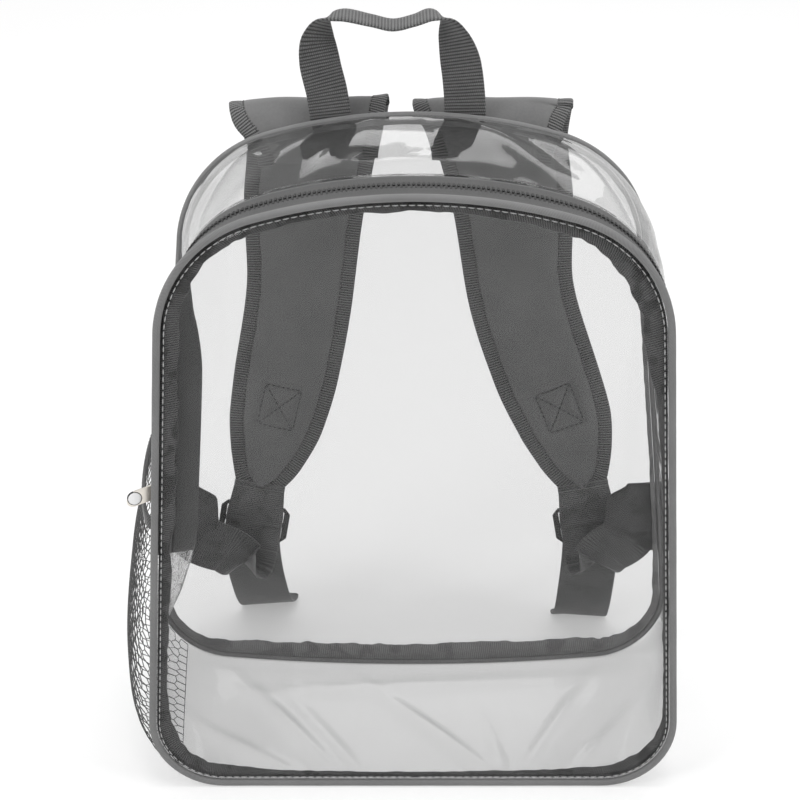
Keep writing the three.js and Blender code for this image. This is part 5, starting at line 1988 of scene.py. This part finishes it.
    def _boxed_cross(self, face: int) -> list[bpy.types.Object]:
        """The stitches of the box and its cross on one face of the pad."""
        made = []
        for start, end in self._box_lines():
            line, up = [], []
            for i in range(9):
                share = i / 8
                run, across = mixed(start[0], end[0], share), mixed(start[1], end[1], share)
                place = self.at(run)
                crown = self._crown(across / (place.half - self.tape * self.pad_inset), place.thick)
                line.append(place.point(across, face * (crown - 1.5 * MM)))
                up.append(place.normal * face)
            made.append(Stitching(2.6 * MM, 0.7 * MM, 1.0 * MM).row("row", line, up))
        return made

    def _end(self) -> tuple[StrapPlace, float, float, float]:
        """The frame below the pad's end, and where the lock's three bars are."""
        top = self.loop_free
        return self.at(self.length), top, top + self.lock_pitch, top + 2 * self.lock_pitch

    def _turn(self, end: StrapPlace, bar: float, width: float, over: int) -> list[Station]:
        """Webbing round half of a bar."""
        made = []
        for i in range(13):
            angle = math.pi * i / 12
            down = bar - over * self.lock_turn * math.sin(angle)
            made.append(Station(end.point(0, -self.lock_turn * math.cos(angle), down), end.wide, width))
        return made

    def loop(self, dresser: Dresser) -> None:
        """Builds the webbing loop that ties the pad's end to its lock."""
        end, top, _, _ = self._end()
        near = self.pad_edge / 2 + self.shape.gap + self.thickness / 2

        def leg(down: float, offset: float, width: float = self.loop_width) -> Station:
            return Station(end.point(0, offset, down), end.wide, width)

        stations = [
            leg(-self.loop_sewn, -near),
            leg(1 * MM, -near),
            *self._turn(end, top, self.loop_width, -1),
            leg(1 * MM, near),
            leg(-self.loop_sewn, near),
        ]
        over = self.lock_turn + self.thickness + 2 * self.shape.gap
        flap = [
            leg(top + self.lock_pitch, -over, self.webbing),
            leg(top + 0.3 * self.lock_pitch, -over, self.webbing),
            leg(0.4 * top, -over, 1.05 * self.loop_width),
            leg(-0.6 * self.loop_sewn, -near - self.thickness - self.shape.gap, self.loop_width),
        ]
        bands = [Band(stations, self.thickness).build("loop"), Band(flap, self.thickness).build("flap")]
        band = joined(f"loop_{self.side.word}", bands)
        dresser.dress(band, dresser.finishes.strap_webbing, Slot.WEBBING, [f"strap_loop_{self.side.word}"])

    def lock(self, frame: dict, dresser: Dresser) -> None:
        """Rounds the lock's edges."""
        node = frame["nodes"][f"ladder_lock_{self.side.word}"]
        lock = softened(node, f"lock_{self.side.word}", 0.6 * MM)
        dresser.dress(lock, dresser.finishes.lock, Slot.LOCK, [f"ladder_lock_{self.side.word}"])

    def tab_point(self, down: float, inwards: float, offset: float) -> np.ndarray:
        """A point of the side tab: down along the seam, in from it, and behind its middle plane."""
        shape = self.shape
        start = shape.distance_at_height(self.tab_up + self.tab_height / 2)
        end = shape.distance_at_height(self.tab_up - self.tab_height / 2)
        seam = shape.seam_at(self.side.value * mixed(start, end, down))
        return seam.rear - seam.out * inwards + spot(0, shape.seam_edge + self.tab_thickness / 2 + offset, 0)

    def tab(self, dresser: Dresser) -> None:
        """Builds the cloth tab that holds the lower webbing in the rear seam."""
        long = Table(
            "down",
            (
                {"down": 0.0, "long": 0.55},
                {"down": 0.2, "long": 0.95},
                {"down": 0.6, "long": 1.0},
                {"down": 1.0, "long": 0.3},
            ),
        )
        half = self.tab_thickness / 2
        rings = []
        for i in range(25):
            down = i / 24
            reach = self.tab_length * long.at("long", down)
            near = [self.tab_point(down, reach * k / 8, half) for k in range(9)]
            far = [self.tab_point(down, reach * k / 8, -half) for k in range(9)]
            rings.append(near + far[::-1])
        tab = Loft(np.array(rings)).build(f"tab_{self.side.word}")
        modified(tab, "BEVEL", width=0.5 * MM, segments=2, limit_method="ANGLE", angle_limit=math.radians(50))
        dresser.dress(tab, dresser.finishes.twill, Slot.TWILL, [f"side_tab_{self.side.word}"])

    def _lower_rows(self, entry: np.ndarray) -> list[Station]:
        """The webbing on its tab, and its slack loop to the lock."""
        sign = self.side.value
        on_tab = self.tab_thickness / 2 + self.shape.gap + self.thickness / 2
        start = self.tab_point(0.34, self.tab_length * 0.42, on_tab)
        leaving = self.tab_point(0.8, self.tab_length * 0.6, on_tab)
        seamwards = unit(self.tab_point(0.8, 0, 0) - self.tab_point(0.34, 0, 0))
        inwards = unit(self.tab_point(0.5, self.tab_length, 0) - self.tab_point(0.5, 0, 0))
        sewn = -sign * (inwards * math.cos(self.lower_tilt) - seamwards * math.sin(self.lower_tilt))
        rows = [Station(start, sewn, self.webbing), Station(leaving, sewn, self.webbing)]
        for row in LOWER_ROWS:
            tilt = row["turn"] * self.lower_tilt
            centre = spot(
                mixed(leaving[0], entry[0], row["over"]),
                mixed(leaving[1], entry[1], row["back"]),
                start[2] - row["down"] * self.lower_drop,
            )
            rows.append(Station(centre, spot(math.cos(tilt), 0, -sign * math.sin(tilt)), self.webbing))
        return rows

    def _tail_rows(self, leaving: np.ndarray) -> list[Station]:
        """The free tail from the lock down to the floor."""
        lay = TAIL_LAY[self.side]
        floor = self.hem_layers * self.thickness / 2 + 2 * self.shape.gap
        rows = []
        for row in TAIL_ROWS:
            angle = row["turn"] * lay.turn
            centre = spot(
                leaving[0] + row["over"] * lay.drift,
                leaving[1] + row["back"] * lay.reach,
                mixed(leaving[2], floor, row["down"]),
            )
            rows.append(Station(centre, spot(math.cos(angle), math.sin(angle), 0), self.webbing))
        return rows

    def lower_webbing(self, dresser: Dresser) -> None:
        """Builds the webbing from the side tab through the lock to the floor."""
        end, _, middle, low = self._end()
        entry = end.point(0, -self.lock_turn, low + self.lock_pitch / 2)
        leaving = end.point(0, self.lock_turn, low + self.lock_pitch / 4)
        lower = smooth_stations([*self._lower_rows(entry), Station(entry, end.wide, self.webbing)], 40)
        tail = smooth_stations([Station(leaving, end.wide, self.webbing), *self._tail_rows(leaving)], 60)
        for station in tail[-8:]:
            station.layers = self.hem_layers
        stations = [*lower, *self._turn(end, middle, self.webbing, 1), *tail]
        band = Band(stations, self.thickness, 0.8 * MM).build(f"lower_webbing_{self.side.word}")
        node = f"strap_webbing_{self.side.word}"
        dresser.dress(band, dresser.finishes.strap_webbing, Slot.WEBBING, [node])

    def build(self, frame: dict, dresser: Dresser) -> None:
        """Builds the whole strap."""
        self.pad(dresser)
        self.edge_tape(dresser)
        self.stitching(dresser)
        self.loop(dresser)
        self.lock(frame, dresser)
        self.tab(dresser)
        self.lower_webbing(dresser)


# Room, light and camera


@dataclass
class Studio:
    """The pale floor, the soft lights and the camera at the photograph's angle."""

    camera_place: tuple[float, float, float] = (-0.0079, -1.1363, 0.7576)
    camera_dip: float = 25.0
    lens: float = 93.3
    floor_size: float = 80.0
    floor_tone: float = 0.55
    floor_glow: float = 0.44
    far_glow: float = 0.25
    far_from: float = 1.8
    far_run: float = 4.0
    tent: tuple[tuple[float, float], ...] = ((0.0, 0.3), (0.25, 0.42), (0.6, 0.75), (1.0, 1.0))

    def camera(self) -> None:
        """Places the camera."""
        data = bpy.data.cameras.new("photo_view")
        data.lens = self.lens
        data.sensor_width = 36.0
        made = bpy.data.objects.new("photo_view", data)
        made.location = self.camera_place
        made.rotation_euler = (math.radians(90 - self.camera_dip), 0, 0)
        bpy.context.scene.collection.objects.link(made)
        bpy.context.scene.camera = made

    def floor(self) -> None:
        """Lays the white floor."""
        half = self.floor_size / 2
        corners = [spot(x, y, 0) for x, y in ((-half, -half), (half, -half), (half, half), (-half, half))]
        made = object_of("floor", corners, [(0, 1, 2, 3)], smooth=False)
        nodes = Nodes("white_floor")
        white = nodes.add("ShaderNodeBsdfDiffuse", Color=(*grey(self.floor_tone), 1.0))
        away = nodes.add("ShaderNodeVectorMath", operation="LENGTH", Vector=nodes.place()).outputs["Value"]
        run = nodes.math("DIVIDE", nodes.math("SUBTRACT", away, self.far_from), self.far_run)
        share = nodes.math("MINIMUM", nodes.math("MAXIMUM", run, 0.0), 1.0)
        level = nodes.math("ADD", nodes.math("MULTIPLY", share, self.far_glow), self.floor_glow)
        glow = nodes.add("ShaderNodeEmission", Strength=level)
        both = nodes.add("ShaderNodeAddShader")
        nodes.feed(both.inputs[0], white.outputs[0])
        nodes.feed(both.inputs[1], glow.outputs[0])
        made.data.materials.append(nodes.finish(both.outputs[0]))

    def lamp(
        self,
        name: str,
        place: tuple[float, float, float],
        size: tuple[float, float],
        power: float,
        aim: tuple[float, float, float] = (0.0, 0.0, 0.2),
    ) -> None:
        """Hangs a soft box.

        Args:
            name: Its name.
            place: Where it hangs.
            size: Its width and height.
            power: Its strength in watts.
            aim: The point that it faces.
        """
        data = bpy.data.lights.new(name, "AREA")
        data.shape = "RECTANGLE"
        data.size, data.size_y = size
        data.energy = power
        made = bpy.data.objects.new(name, data)
        made.location = place
        towards = Vector(aim) - Vector(place)
        made.rotation_euler = towards.to_track_quat("-Z", "Y").to_euler()
        bpy.context.scene.collection.objects.link(made)

    def lights(self) -> None:
        """Hangs the lights."""
        self.lamp("key", (-1.3, -1.3, 1.7), (0.7, 0.7), 11)
        self.lamp("fill", (1.6, -0.9, 1.2), (0.5, 1.2), 6)
        self.lamp("top", (0.0, -0.1, 2.0), (1.4, 0.5), 12)
        self.lamp("back", (0.2, 1.8, 1.1), (1.6, 0.6), 4)

    def room(self) -> None:
        """Fills the room with white that is dimmer towards the walls, as a light tent is."""
        world = bpy.data.worlds.new("white_room")
        world.use_nodes = True
        tree = world.node_tree
        tree.nodes.clear()
        seen = tree.nodes.new("ShaderNodeBackground")
        seen.inputs["Color"].default_value = (1, 1, 1, 1)
        light = tree.nodes.new("ShaderNodeBackground")
        way = tree.nodes.new("ShaderNodeTexCoord")
        split = tree.nodes.new("ShaderNodeSeparateXYZ")
        ramp = tree.nodes.new("ShaderNodeValToRGB")
        ramp.color_ramp.elements.remove(ramp.color_ramp.elements[0])
        for index, (height, level) in enumerate(self.tent):
            stops = ramp.color_ramp.elements
            stop = stops[0] if index == 0 else stops.new(height)
            stop.position = height
            stop.color = (level, level, level, 1)
        ray = tree.nodes.new("ShaderNodeLightPath")
        choice = tree.nodes.new("ShaderNodeMixShader")
        output = tree.nodes.new("ShaderNodeOutputWorld")
        tree.links.new(way.outputs["Generated"], split.inputs[0])
        tree.links.new(split.outputs[2], ramp.inputs[0])
        tree.links.new(ramp.outputs[0], light.inputs["Color"])
        tree.links.new(ray.outputs["Is Camera Ray"], choice.inputs[0])
        tree.links.new(light.outputs[0], choice.inputs[1])
        tree.links.new(seen.outputs[0], choice.inputs[2])
        tree.links.new(choice.outputs[0], output.inputs[0])
        bpy.context.scene.world = world

    def build(self) -> None:
        """Sets up the whole room."""
        self.camera()
        self.floor()
        self.lights()
        self.room()
        scene = bpy.context.scene
        scene.view_settings.view_transform = "Standard"
        scene.cycles.transparent_max_bounces = 40


def main() -> None:
    """Dresses the bag."""
    logging.basicConfig(level=logging.INFO, format="%(name)s: %(message)s")
    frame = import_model()
    Studio().build()
    dresser = Dresser(Finishes())
    shape = BagShape()
    ClearSheets(shape).build(dresser)
    PipedSeams(shape).build(dresser)
    Zip(shape).build(frame, dresser)
    NetPocket(shape).build(dresser)
    GrabHandle(shape).build(dresser)
    for side in Side:
        ShoulderStrap(shape, side).build(frame, dresser)
    log.info("%d pieces", len(dresser.pieces))
    bpy.context.view_layer.update()


if __name__ == "__main__":
    main()
